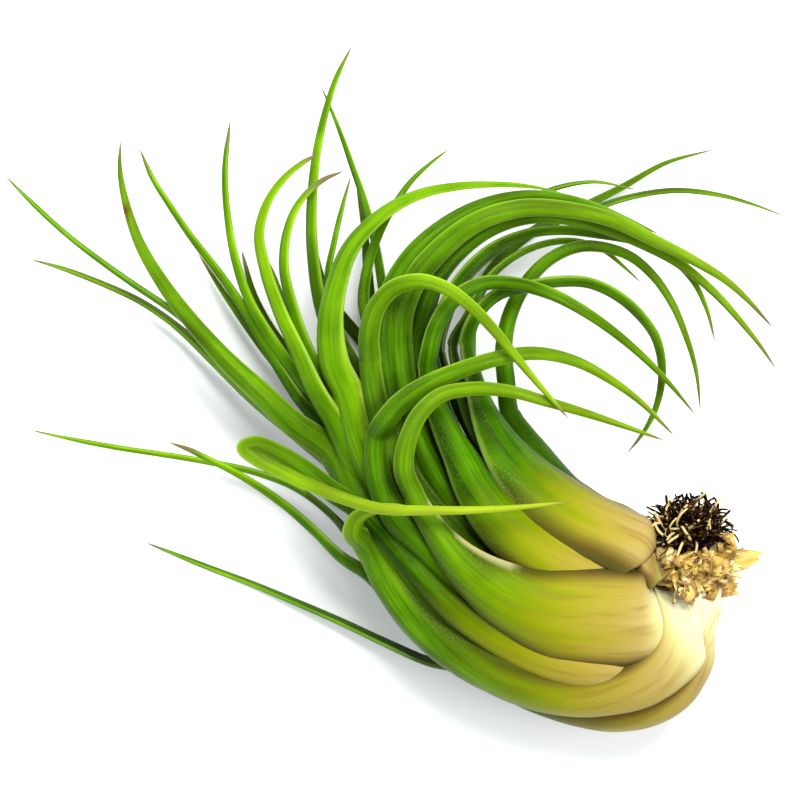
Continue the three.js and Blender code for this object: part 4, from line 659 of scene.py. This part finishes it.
SHADE_CELL = 1.0
SHADE_LOW = (-90.0, -40.0)
SHADE_CELLS = (140, 140)
CLOSE_SHARE = 0.12
NEAR_CONTACT = (1.0, 3.6)
FAR_BELOW = (8.0, 16.0)


def leaf_tops(surfaces):
    """The highest corner of a base, or of the foot of its blade, over each 1 mm cell of the ground and the
    cells round it, then the mean of nine cells. Free blades throw no such shade."""
    every = np.concatenate([corners[marks["blade"] < CLOSE_SHARE] for corners, marks in surfaces])
    cell = ((every[:, :2] - SHADE_LOW) / SHADE_CELL).astype(int)
    top = np.zeros(SHADE_CELLS)
    np.maximum.at(top, tuple(cell.T), every[:, 2])
    steps = [(i, j) for i in (-1, 0, 1) for j in (-1, 0, 1)]
    top = np.max([np.roll(top, step, (0, 1)) for step in steps], axis=0)
    return np.mean([np.roll(top, step, (0, 1)) for step in steps], axis=0)


def shade_under(corners, tops):
    """How much a leaf lies in the shade of the one over it: with d the depth of a corner under the tops,
    read between four cells, it rises from d = 1 to 3.6 mm and falls again from 8 to 16 mm."""
    at = (corners[..., :2] - SHADE_LOW) / SHADE_CELL - 0.5
    i, j = np.moveaxis(np.floor(at).astype(int), -1, 0)
    f, g = at[..., 0] - i, at[..., 1] - j
    near, far = (tops[i, k] * (1 - f) + tops[i + 1, k] * f for k in (j, j + 1))
    depth = near * (1 - g) + far * g - corners[..., 2]
    return smooth_step(*NEAR_CONTACT, depth) * (1 - smooth_step(*FAR_BELOW, depth))


# The leaf's colours. A row of the sheath's or the neck's colours is (all of it below this station, none
# above this one, colour, most of it there can be), and a row of tones is
# (what it follows, how much it adds), where the middle tone takes off about what they add on the whole. The
# other rows of numbers are ramps (from, to, start, end) over the edge, the blade, the station or a noise,
# and each grain is the noise's (stretch along the leaf, stretch across it, detail).

LEAF_GREENS = [
    (0.0, (0.001, 0.009, 0.0001)), (0.3, (0.012, 0.054, 0.0001)), (0.55, (0.044, 0.150, 0.0002)),
    (0.8, (0.115, 0.280, 0.0006)), (1.0, (0.210, 0.410, 0.0030)),
]
VEIN_GRAIN = (0.10, 2.6, 3.0)
STREAK_GRAIN = (0.035, 0.55, 1.0)
CLOUD_SCALE = 160.0
RIM = (0.62, 1.0)
LIP = (0.84, 0.98)
MIDDLE_TONE = 0.995
TONES = [
    ("veins", 0.55), ("streaks", 0.90), ("cloud", 0.50), ("rim", 0.10), ("lip", 0.18), ("inside", -0.16),
]
PALE_TIP = (0.36, 0.39, 0.02)
PALE_POWER = 1.6
WANDER_GRAIN = (0.03, 0.35, 2.0)
WANDER = 1.6
NECK_WANDER = 0.25
SHEATH_COLOURS = [
    (4.6, 6.0, (0.145, 0.190, 0.001), 0.70), (4.0, 5.2, (0.255, 0.240, 0.006), 0.75),
    (3.3, 4.5, (0.310, 0.230, 0.038), 0.85), (2.5, 3.5, (0.350, 0.258, 0.085), 0.95),
]
SHEATH_BROWN = (0.200, 0.115, 0.022)
BROWN_GRAIN = (0.06, 0.8, 2.0)
BROWN_PATCH = (0.48, 0.68, 0.0, 0.55)
BROWN_RIM = (0.55, 0.95, 0.0, 0.85)
BROWN_ENDS = (3.6, 5.6, 1.0, 0.0)
NECK_COLOURS = [(1.8, 2.7, (0.500, 0.450, 0.170), 1.0), (1.2, 2.3, (0.580, 0.590, 0.390), 1.0)]
# The seam colour is painted shade: the near black that the edges of the bases take on in the seams between
# them.
SEAM_SHADE = (0.018, 0.014, 0.002)
SEAM_RIM = (0.55, 0.98)
SEAM_ON_BLADE = (0.0, 0.25, 1.0, 0.0)
SEAM_STARTS = (1.6, 3.2)
SEAM_FAINTER = (5.6, 7.2, 1.0, 0.4)
SEAM_MOST = 0.82
SHADE_BROWN = (0.110, 0.060, 0.010)
SHADE_GREEN = (0.006, 0.022, 0.0004)
SHADE_GREENS = (3.5, 5.5)
SHADE_STARTS = (1.4, 3.0, 0.0, 0.62)
PAPER_EDGE = (0.30, 0.38, 0.09)
PAPER_RIM = (0.88, 0.97)
PAPER_ON_BLADE = (0.05, 0.65, 1.0, 0.15)
PAPER_STARTS = (2.4, 3.4)
PAPER_MOST = 0.42
CREAM_STRIP = (0.42, 0.38, 0.17)
SCURF = (0.30, 0.36, 0.13)
FLECK_GRAIN = (4.2, 8.0, 1.0)
FLECK = (0.54, 0.72)
BAND_GRAIN = (0.06, 0.6, 1.0)
BAND = (0.44, 0.62)
SCURF_STARTS = (4.0, 5.5, 0.0, 0.26)
SKIN_GRAIN = (0.25, 7.0, 2.0)
DRY_TIP = (0.145, 0.105, 0.045)
BROWN_SPOT = (0.10, 0.035, 0.004)


def mark_of(tree, name):
    """The output that reads a mark of the mesh."""
    return node(tree, "ShaderNodeAttribute", attribute_name=name).outputs["Fac"]


def leaf_skin():
    """Leaf skin: pale cream at the stem, tan and olive over the bulb, green beyond, and grey-brown where
    the tip has dried. Fine veins run along it, its edges are lighter, and flecks of pale scurf catch the
    light in bands. Painted shade darkens the edges of the bases in the seams between them, and the parts
    that lie close under another leaf."""
    material, tree, shader = new_material("leaf_skin")
    station, blade, run, girth = (mark_of(tree, name) for name in ("station", "blade", "run", "girth"))

    def skin_noise(along, over, detail):
        """Noise on the skin laid flat: its run is stretched by along, and its girth by over."""
        feeds = {0: times(tree, girth, over), 1: times(tree, run, along)}
        return noise_of(tree, node(tree, "ShaderNodeCombineXYZ", feeds).outputs[0], 1.0, detail)

    def fading(place, rows):
        """Each row's colour, with a share that falls as the place passes the row's two stations."""
        return [(ramp_of(tree, place, low, high, most, 0.0), paint) for low, high, paint, most in rows]

    edge = math_of(tree, "ABSOLUTE", mark_of(tree, "across"))
    veins = skin_noise(*VEIN_GRAIN)
    toned = dict(
        veins=veins, streaks=skin_noise(*STREAK_GRAIN),
        cloud=noise_of(tree, object_place(tree), CLOUD_SCALE), rim=ramp_of(tree, edge, *RIM),
        lip=ramp_of(tree, edge, *LIP), inside=mark_of(tree, "inside"))
    tone = math_of(tree, "SUBTRACT", mark_of(tree, "green"), MIDDLE_TONE)
    for name, strength in TONES:
        tone = math_of(tree, "MULTIPLY_ADD", toned[name], strength, tone)
    greens = node(tree, "ShaderNodeValToRGB", {"Fac": tone})
    stops = greens.color_ramp.elements
    stops[0].color, stops[1].color = (*LEAF_GREENS[0][1], 1.0), (*LEAF_GREENS[-1][1], 1.0)
    for at, green in LEAF_GREENS[1:-1]:
        stops.new(at).color = (*green, 1.0)

    wander = math_of(tree, "MULTIPLY_ADD", skin_noise(*WANDER_GRAIN), WANDER, -WANDER / 2)
    grown = math_of(tree, "SUBTRACT", math_of(tree, "ADD", station, wander), mark_of(tree, "pale"))
    necked = math_of(tree, "MULTIPLY_ADD", wander, NECK_WANDER, station)
    necked = math_of(tree, "ADD", necked, mark_of(tree, "neck"))
    brown = ramp_of(tree, skin_noise(*BROWN_GRAIN), *BROWN_PATCH)
    brown = math_of(tree, "MAXIMUM", brown, ramp_of(tree, edge, *BROWN_RIM))
    brown = times(tree, brown, ramp_of(tree, grown, *BROWN_ENDS))
    papery = times(tree, ramp_of(tree, edge, *PAPER_RIM), ramp_of(tree, blade, *PAPER_ON_BLADE),
                   ramp_of(tree, station, *PAPER_STARTS), PAPER_MOST)
    # Painted shade: the edges of the bases go near black in the seams between them; none at the neck, fainter
    # further up, and gone within the blade's first quarter.
    seam_shade = times(tree, ramp_of(tree, edge, *SEAM_RIM), ramp_of(tree, blade, *SEAM_ON_BLADE),
                 ramp_of(tree, grown, *SEAM_STARTS), ramp_of(tree, station, *SEAM_FAINTER), SEAM_MOST)
    shaded = times(tree, mark_of(tree, "shade"), ramp_of(tree, grown, *SHADE_STARTS))
    shade = blend_of(tree, ramp_of(tree, grown, *SHADE_GREENS), SHADE_BROWN, SHADE_GREEN)
    fleck = ramp_of(tree, skin_noise(*FLECK_GRAIN), *FLECK)
    band = ramp_of(tree, skin_noise(*BAND_GRAIN), *BAND)
    scurf = times(tree, fleck, band, ramp_of(tree, grown, *SCURF_STARTS))
    layers = [
        (math_of(tree, "POWER", mark_of(tree, "yellow"), PALE_POWER), PALE_TIP),
        *fading(grown, SHEATH_COLOURS), (brown, SHEATH_BROWN), *fading(necked, NECK_COLOURS),
        (papery, PAPER_EDGE), (seam_shade, SEAM_SHADE), (shaded, shade), (scurf, SCURF),
        (mark_of(tree, "paper"), CREAM_STRIP), (mark_of(tree, "spot"), BROWN_SPOT),
        (mark_of(tree, "dried"), DRY_TIP)]
    colour = greens.outputs[0]
    for share, paint in layers:
        colour = blend_of(tree, share, colour, paint)

    grain = math_of(tree, "MULTIPLY_ADD", fleck, 0.5, skin_noise(*SKIN_GRAIN))
    rough = math_of(tree, "MULTIPLY_ADD", scurf, 0.6, math_of(tree, "MULTIPLY_ADD", veins, 0.22, 0.30))
    dress(tree, shader, colour, (grain, 0.25, 0.00006), {
        "Roughness": rough, "Subsurface Weight": 0.18, "Subsurface Radius": (0.6, 1.0, 0.15),
        "Subsurface Scale": 0.0012, "Specular IOR Level": 0.07, "Specular Tint": (0.75, 1.0, 0.20, 1.0)})
    return material


skin = leaf_skin()
surfaces = [leaf_surface(leaf) for leaf in LEAVES]
tops = leaf_tops(surfaces)
for number, (corners, marks) in enumerate(surfaces, 1):
    name = f"leaf_{number:02d}"
    marks["shade"] = shade_under(corners, tops)
    corners[:, :, 2] = np.maximum(corners[:, :, 2], 0.0)
    piece = named_mesh("green_" + name, corners.reshape(-1, 3), closed_tube(SECTIONS + 1, ROUND))
    write_marks(piece, marks)
    piece.data.materials.append(skin)
    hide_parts(name)
    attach(piece, "root")


# The stem is a short woody rod, hidden in the bulb but for its broken end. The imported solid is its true
# shape, so it stays and only gets its finish: dry brown wood with long darker fibres.

WOOD_DARK = (0.10, 0.05, 0.02)
WOOD_LIGHT = (0.50, 0.33, 0.15)
FIBRE_STRETCH = (9.0, 1.5, 9.0)


def stem_wood():
    """Dry stem wood: tan to dark brown in long fibres, dull all over."""
    material, tree, shader = new_material("stem_wood")
    stretched = node(tree, "ShaderNodeMapping", {"Vector": object_place(tree), "Scale": FIBRE_STRETCH})
    fibres = noise_of(tree, stretched.outputs[0], scale=300.0)
    colour = blend_of(tree, fibres, WOOD_DARK, WOOD_LIGHT)
    dress(tree, shader, colour, (fibres, 0.5, 0.0002), {"Roughness": 0.85})
    return material


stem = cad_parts["stem"]
stem.data.materials.clear()
stem.data.materials.append(stem_wood())


# The dry roots: wiry dark strands, broken and tangled, that curl out of a crown on the stem's broken end.
# About a quarter have lost their bark and are pale as straw.

ROOT_COUNT = 340
ROOT_RINGS = 18
ROOT_ROUND = 6
ROOT_LENGTHS = (1.8, 4.8)
ROOT_HALVES = (0.11, 0.25)
ROOT_TURNS = (0.3, 3.0)
ROOT_LEAN = 10
ROOT_FANS_OUT = 75
ROOT_STRAYS = 22
ROOT_THINS = 0.25
BROKEN_END = 0.7
STRAND_SKEW = (0.13, 0.07, 0.05)
CROWN_AT = ROOT_END + (-0.3, 0.9, 0.0)
CROWN_WAY = unit(ROOT_END - AXIS[0, :3])
CROWN_SPREAD = 3.8
CROWN_HEIGHT = 2.9
CROWN_SUNK = 0.9
CROWN_RINGS = 10
CROWN_ROUND = 40
CROWN_RADII = [(0.0, 3.4), (0.15, 3.9), (0.7, 3.1), (0.95, 1.7), (1.0, 0.5)]
CROWN_LUMPS = 0.09
UNDER_CROWN = (0.98, 0.8, 0.92)
ROOT_DARK = (0.0012, 0.0006, 0.0004)
ROOT_RUST = (0.120, 0.052, 0.014)
ROOT_STRAW = (0.60, 0.45, 0.20)
RUST_MOTTLE = (0.48, 0.72)
BALD_ROOTS = (0.70, 0.76)
PEELED_FROM = (0.0, 0.3)


def perpendicular_pair(heading):
    """Two unit directions across a heading h: (h x z) made unit, and that x h."""
    side = unit(np.cross(heading, UPWARD))
    return side, np.cross(side, heading)


def turned_way(side, face, angle):
    """The direction side cos a + face sin a."""
    return side * np.cos(angle)[..., None] + face * np.sin(angle)[..., None]


def strand_corners(paths, halves, around):
    """Rings round many paths at once: p + r (s cos t + f sin t), with s and f across each path."""
    heading = unit(np.gradient(paths, axis=1))
    side = unit(np.cross(heading, np.roll(heading[:, :1], 1, axis=-1) + STRAND_SKEW))
    face = np.cross(side, heading)
    out = turned_way(side[:, :, None], face[:, :, None], -ring_turns(around))
    return paths[:, :, None] + out * halves[:, :, None, None]


def many_tubes(count, rings, around):
    """The faces of one closed tube, repeated for each tube with its own first corner."""
    firsts = (np.arange(count) * rings * around)[:, None, None]
    return (closed_tube(rings, around)[None] + firsts).reshape(-1, 4)


def root_strands():
    """Curling roots, each an arc p = s + L (h sin(w t) / w + n (1 - cos(w t)) / w) with its own turn w and
    side n, and a half-width that thins a little and ends broken. They start inside the crown's dome and
    lean out more the further off its middle they are. Returns the corners, how pale and how far along each
    is."""
    draw = np.random.default_rng(23)
    side, face = perpendicular_pair(CROWN_WAY)
    turn = 2 * np.pi * draw.random(ROOT_COUNT)
    off = CROWN_SPREAD * np.sqrt(draw.random(ROOT_COUNT))
    away = turned_way(side, face, turn)
    lean = ROOT_LEAN + ROOT_FANS_OUT * off / CROWN_SPREAD + draw.normal(0, ROOT_STRAYS, ROOT_COUNT)
    rounding, depth, inset = UNDER_CROWN
    rise = CROWN_HEIGHT * np.sqrt(1 - rounding * (off / CROWN_SPREAD) ** 2)
    start = CROWN_AT + CROWN_WAY * (depth * rise)[:, None] + away * inset * off[:, None]
    heading = turned_way(CROWN_WAY, away, np.radians(lean))[:, None]
    length = draw.uniform(*ROOT_LENGTHS, ROOT_COUNT)[:, None, None]
    t = np.linspace(0, 1, ROOT_RINGS)[None, :, None]
    turned = unit(np.cross(heading[:, 0], draw.normal(0, 1, (ROOT_COUNT, 3))))[:, None]
    bend = draw.uniform(*ROOT_TURNS, (ROOT_COUNT, 1, 1))
    path = start[:, None] + length / bend * (heading * np.sin(bend * t) + turned * (1 - np.cos(bend * t)))
    half = draw.uniform(*ROOT_HALVES, (ROOT_COUNT, 1)) * (1 - ROOT_THINS * t[..., 0])
    half[:, -1] *= BROKEN_END
    pale = np.repeat(draw.random(ROOT_COUNT)[:, None], ROOT_RINGS, axis=1)
    return strand_corners(path, half, ROOT_ROUND), pale, np.repeat(t[..., 0], ROOT_COUNT, axis=0)


def root_crown():
    """The crown's rings: a dome up to 3.9 mm in radius that closes over 2.9 mm, times 1 + lumps of a seeded
    draw."""
    draw = np.random.default_rng(5)
    t = np.linspace(0, 1, CROWN_RINGS)
    radius = np.interp(t, *np.array(CROWN_RADII).T)[:, None]
    radius = radius * (1 + draw.normal(0, CROWN_LUMPS, (CROWN_RINGS, CROWN_ROUND)))
    middle = CROWN_AT + CROWN_WAY * (CROWN_HEIGHT * t - CROWN_SUNK)[:, None]
    out = turned_way(*perpendicular_pair(CROWN_WAY), -ring_turns(CROWN_ROUND))
    return middle[:, None] + out * radius[..., None]


def root_bark():
    """Root bark: near black to rust brown along each strand, and pale straw where it has peeled."""
    material, tree, shader = new_material("root_bark")
    mottle = noise_of(tree, object_place(tree), scale=1400.0, detail=3.0)
    bald = ramp_of(tree, mark_of(tree, "pale"), *BALD_ROOTS)
    peeled = times(tree, bald, ramp_of(tree, mark_of(tree, "far"), *PEELED_FROM))
    colour = blend_of(tree, ramp_of(tree, mottle, *RUST_MOTTLE), ROOT_DARK, ROOT_RUST)
    colour = blend_of(tree, peeled, colour, ROOT_STRAW)
    dress(tree, shader, colour, (mottle, 0.6, 0.0001), {"Roughness": 0.7, "Specular IOR Level": 0.04})
    return material


strands, pale, far = root_strands()
strand_total = strands.size // 3
roots = named_mesh(
    "wiry_roots", np.vstack([strands.reshape(-1, 3), root_crown().reshape(-1, 3)]),
    np.vstack([many_tubes(ROOT_COUNT, ROOT_RINGS, ROOT_ROUND),
               closed_tube(CROWN_RINGS, CROWN_ROUND, strand_total)]))
write_marks(roots, {
    name: np.concatenate([np.repeat(value.ravel(), ROOT_ROUND), np.zeros(CROWN_RINGS * CROWN_ROUND)])
    for name, value in (("pale", pale), ("far", far))})
roots.data.materials.append(root_bark())
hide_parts("dry_roots")
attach(roots, "root")


# The old leaf bases: what is left of dead leaves, dry as paper. They wrap the stem between the bulb and the
# roots in a ragged collar, and their torn ends curl outwards all round it. A few thin fibres of them lie
# over the neck of the bulb.

SCALE_COUNT = 130
SCALE_RINGS = 16
SCALE_ROUND = 20
SCALE_LENGTHS = (1.5, 3.1)
LENGTH_MIDDLE = 0.72
LENGTH_TO_RIGHT = 0.22
LENGTH_LEAST = 0.55
SCALE_HALVES = (0.8, 1.9)
SCALE_NARROWS = 0.25
SCALE_THICK = 0.14
SCALE_LEANS = (18, 88)
SCALE_LIFTS = np.array((0.5, -0.1, 0.0))
BENDS_OUT = (0.1, 0.45)
BENDS_ASIDE = (0.0, 0.35)
HOOKS = (0.0, 0.30)
FACE_STRAYS = 0.55
TORN_BY = 0.45
CURLS = (0.0, 0.9)
CURL_AT_FOOT = 0.3
CRUMPLE = 0.22
SCALE_SHIFT = np.array((0.5, 0.9, 0.0))
OVER_FEET = np.array((0.7, 0.0, 3.4))
FEET_SIDE = -0.3
LOW_LEG = (0.2, 1.6)
HIGH_LEG = 1.5
COLLAR_LOW = axis_at(np.array([0.9]))[0][0]
COLLAR_BEND = AXIS[0, :3]
COLLAR_END = 0.8
COLLAR_RADIUS = 4.7
COLLAR_OVERLAP = 0.5
COLLAR_DRAWN_IN = (0.5, 0.75)
COLLAR_RINGS = 16
COLLAR_ROUND = 64
COLLAR_PLEATS = 9
PLEAT_DEPTH = 0.05
COLLAR_ROUGH = 0.018
COLLAR_STRAW = 0.3
COLLAR_STREAKS = 5
FIBRE_COUNT = 11
FIBRE_STARTS = (0.75, 1.0)
FIBRE_REACHES = (0.3, 0.8)
FIBRE_ANGLES = (55, 150)
FIBRE_STRAYS = 10
FIBRE_OVER_SKIN = (0.12, 0.35)
FIBRE_HALVES = (0.04, 0.07)
FIBRE_THINS = 0.6
FIBRE_MARKS = dict(straw=0.35, far=0.5, wide=0.0)
SCALE_STRAW = (0.70, 0.50, 0.14)
SCALE_BROWN = (0.46, 0.28, 0.03)
SCALE_PALE = (0.92, 0.82, 0.44)
# The rust colour is both real rust, in the spots and at the rims, and painted shade at the feet.
SCALE_RUST_AND_SHADE = (0.16, 0.07, 0.004)
STRAW_STREAKS = (0.35, 0.68)
PALE_SCRAPS = (0.6, 1.0, 0.0, 0.62)
RUST_SPOTS = (0.50, 0.62, 0.0, 0.80)
RUST_RIM = (0.80, 0.97, 0.0, 0.75)
# The foot ramp is painted shade: each scrap, and the low end of the collar, darkens towards its foot, where
# it lies under the others.
FOOT_SHADE = (0.0, 0.4, 0.75, 0.0)


def torn_scales():
    """Curled scraps p = s + L (h t + b t^2 + c t^3), each a thin strip with u = -cos q across it: p + w u
    side + (curl u^2 + k sin(7 t + f) sin(4 u + 3 f) + thick sin q / 2) face, with its own fold f. Each
    column ends at its own t, so the far end is torn. Half of the scraps start on each leg of the collar's
    line, and those at the left lie over the feet of the leaves."""
    draw = np.random.default_rng(41)
    reach = draw.random(SCALE_COUNT)
    on_low_leg = reach[:, None] < 0.5
    low_foot = COLLAR_LOW + (COLLAR_BEND - COLLAR_LOW) * (LOW_LEG[0] + LOW_LEG[1] * reach[:, None])
    high_foot = COLLAR_BEND + (ROOT_END - COLLAR_BEND) * HIGH_LEG * (reach[:, None] - 0.5)
    out = unit(np.where(on_low_leg, ROOT_END - COLLAR_LOW, ROOT_END - COLLAR_BEND))
    away = turned_way(*perpendicular_pair(out), 2 * np.pi * draw.random(SCALE_COUNT))
    lean = np.radians(draw.uniform(*SCALE_LEANS, SCALE_COUNT))
    heading = unit(turned_way(out, away, lean) + SCALE_LIFTS * np.maximum(0, away[:, 2:]))
    length = draw.uniform(*SCALE_LENGTHS, SCALE_COUNT)
    length = length * np.maximum(LENGTH_LEAST, LENGTH_MIDDLE + LENGTH_TO_RIGHT * away[:, 0])
    bend = away * draw.normal(*BENDS_OUT, (SCALE_COUNT, 1))
    bend = bend + np.cross(out, away) * draw.normal(*BENDS_ASIDE, (SCALE_COUNT, 1))
    hook = draw.normal(*HOOKS, (SCALE_COUNT, 3))
    shift = np.where(away[:, :1] > FEET_SIDE, SCALE_SHIFT, OVER_FEET * (away[:, 2:] > 0))
    start = np.where(on_low_leg, low_foot, high_foot) + away * (COLLAR_RADIUS - COLLAR_OVERLAP) + shift
    q = ring_turns(SCALE_ROUND)
    u = -np.cos(q)
    column = np.minimum(np.arange(SCALE_ROUND), SCALE_ROUND - 1 - np.arange(SCALE_ROUND))
    torn = 1 - TORN_BY * draw.random((SCALE_COUNT, SCALE_ROUND // 2))[:, column]
    t = np.linspace(0, 1, SCALE_RINGS)[None, :, None] * torn[:, None, :]
    start, heading, bend, hook = (v[:, None, None, :] for v in (start, heading, bend, hook))
    s = t[..., None]
    path = start + length[:, None, None, None] * (heading * s + bend * s ** 2 + hook * s ** 3)
    going = unit(heading + 2 * bend * s + 3 * hook * s ** 2)
    facing = (UPWARD + draw.normal(0, FACE_STRAYS, (SCALE_COUNT, 3)))[:, None, None, :]
    width_way = unit(np.cross(np.broadcast_to(facing, going.shape), going))
    half = draw.uniform(*SCALE_HALVES, (SCALE_COUNT, 1, 1)) * (1 - SCALE_NARROWS * t)
    curl = draw.normal(*CURLS, (SCALE_COUNT, 1, 1)) * half * (CURL_AT_FOOT + t)
    fold = 6 * draw.random((SCALE_COUNT, 1, 1))
    crumple = CRUMPLE * np.sin(7 * t + fold) * np.sin(4 * u + 3 * fold)
    lift = curl * u ** 2 + crumple + 0.5 * SCALE_THICK * np.sin(q)
    corners = path + width_way * (half * u)[..., None] + np.cross(width_way, going) * lift[..., None]
    straw = np.broadcast_to(draw.random(SCALE_COUNT)[:, None, None], t.shape)
    return corners, dict(straw=straw, far=t, wide=np.broadcast_to(u, t.shape))


def neck_fibres():
    """Thin fibres p = m + d (i cos a + 0.86 z sin a), at a distance d just over the neck's skin, from the
    collar down the neck; the angle a wanders as a0 + a1 t + a2 t^2."""
    draw = np.random.default_rng(17)
    t = np.linspace(0, 1, SCALE_RINGS)[None, :]
    one_each = (FIBRE_COUNT, 1)
    station = draw.uniform(*FIBRE_STARTS, one_each) + draw.uniform(*FIBRE_REACHES, one_each) * t
    angle = draw.uniform(*FIBRE_ANGLES, one_each) + draw.normal(0, FIBRE_STRAYS, one_each) * t
    angle = np.radians(angle + draw.normal(0, FIBRE_STRAYS, one_each) * t ** 2)
    middle, radius, inner = axis_at(station.ravel())
    neck_stations, neck_layers = np.array(LEAVES[1]["base"])[:4, ::2].T
    distance = np.interp(station, neck_stations, neck_layers) * radius.reshape(station.shape)
    distance = distance + draw.uniform(*FIBRE_OVER_SKIN, one_each)
    grid = (FIBRE_COUNT, SCALE_RINGS, 3)
    path = round_axis(middle.reshape(grid), inner.reshape(grid), distance, angle)
    return strand_corners(path, draw.uniform(*FIBRE_HALVES, one_each) * (1 - FIBRE_THINS * t), SCALE_ROUND)


def collar_rings():
    """The collar round the stem: radius 4.7 mm with pleats, 1 + 0.05 sin(9 a + 2 t) + a seeded roughness,
    and drawn in at both ends."""
    draw = np.random.default_rng(9)
    line = np.array([COLLAR_LOW, COLLAR_BEND, COLLAR_BEND + COLLAR_END * (ROOT_END - COLLAR_BEND)])
    t = np.linspace(0, 2, COLLAR_RINGS)
    middle = curve_through(line, (0, 1, 2), t)
    side, face = perpendicular_pair(unit(np.gradient(middle, axis=0)))
    angle = -ring_turns(COLLAR_ROUND)
    pleats = PLEAT_DEPTH * np.sin(COLLAR_PLEATS * angle + 2 * t[:, None])
    radius = COLLAR_RADIUS * (1 + pleats + draw.normal(0, COLLAR_ROUGH, (COLLAR_RINGS, COLLAR_ROUND)))
    radius[[0, -1]] *= np.array(COLLAR_DRAWN_IN)[:, None]
    return middle[:, None] + turned_way(side[:, None], face[:, None], angle) * radius[..., None]


def dead_leaf():
    """Dead leaf paper: straw to brown, streaked along the scrap, darker with rust in spots and at its rims,
    and darker at its foot with painted shade, where it lies under the scraps round it."""
    material, tree, shader = new_material("dead_leaf")
    straw, far, wide = (mark_of(tree, name) for name in ("straw", "far", "wide"))
    feeds = {0: times(tree, wide, 3.0), 1: far, 2: times(tree, straw, 40.0)}
    streaks = noise_of(tree, node(tree, "ShaderNodeCombineXYZ", feeds).outputs[0], scale=2.2, detail=3.0)
    mottle = noise_of(tree, object_place(tree), scale=500.0, detail=3.0)
    mixed = math_of(tree, "MULTIPLY_ADD", streaks, 0.7, times(tree, mottle, 0.3))
    colour = blend_of(tree, ramp_of(tree, mixed, *STRAW_STREAKS), SCALE_BROWN, SCALE_STRAW)
    colour = blend_of(tree, ramp_of(tree, straw, *PALE_SCRAPS), colour, SCALE_PALE)
    edge = math_of(tree, "ABSOLUTE", wide)
    # Rust in spots and along the rims, and painted shade at the foot.
    for place, ramp in ((mottle, RUST_SPOTS), (edge, RUST_RIM), (far, FOOT_SHADE)):
        colour = blend_of(tree, ramp_of(tree, place, *ramp), colour, SCALE_RUST_AND_SHADE)
    dress(tree, shader, colour, (streaks, 0.5, 0.00012), {
        "Roughness": 0.6, "Subsurface Weight": 0.1, "Subsurface Radius": (1.0, 0.6, 0.3),
        "Subsurface Scale": 0.0005})
    return material


scraps, scrap_marks = torn_scales()
thin_parts = np.concatenate([scraps, neck_fibres()])
thin_total = thin_parts.size // 3
scales = named_mesh(
    "frayed_scales", np.vstack([thin_parts.reshape(-1, 3), collar_rings().reshape(-1, 3)]),
    np.vstack([many_tubes(SCALE_COUNT + FIBRE_COUNT, SCALE_RINGS, SCALE_ROUND),
               closed_tube(COLLAR_RINGS, COLLAR_ROUND, thin_total)]))
collar_marks = dict(
    straw=np.full(COLLAR_RINGS * COLLAR_ROUND, COLLAR_STRAW),
    far=np.repeat(np.linspace(0, 1, COLLAR_RINGS), COLLAR_ROUND),
    wide=np.tile(np.sin(COLLAR_STREAKS * np.linspace(0, 2 * np.pi, COLLAR_ROUND)), COLLAR_RINGS))
fibre_corners = FIBRE_COUNT * SCALE_RINGS * SCALE_ROUND
write_marks(scales, {
    name: np.concatenate([value.ravel(), np.full(fibre_corners, FIBRE_MARKS[name]), collar_marks[name]])
    for name, value in scrap_marks.items()})
scales.data.materials.append(dead_leaf())
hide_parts("old_leaf_scales")
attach(scales, "root")
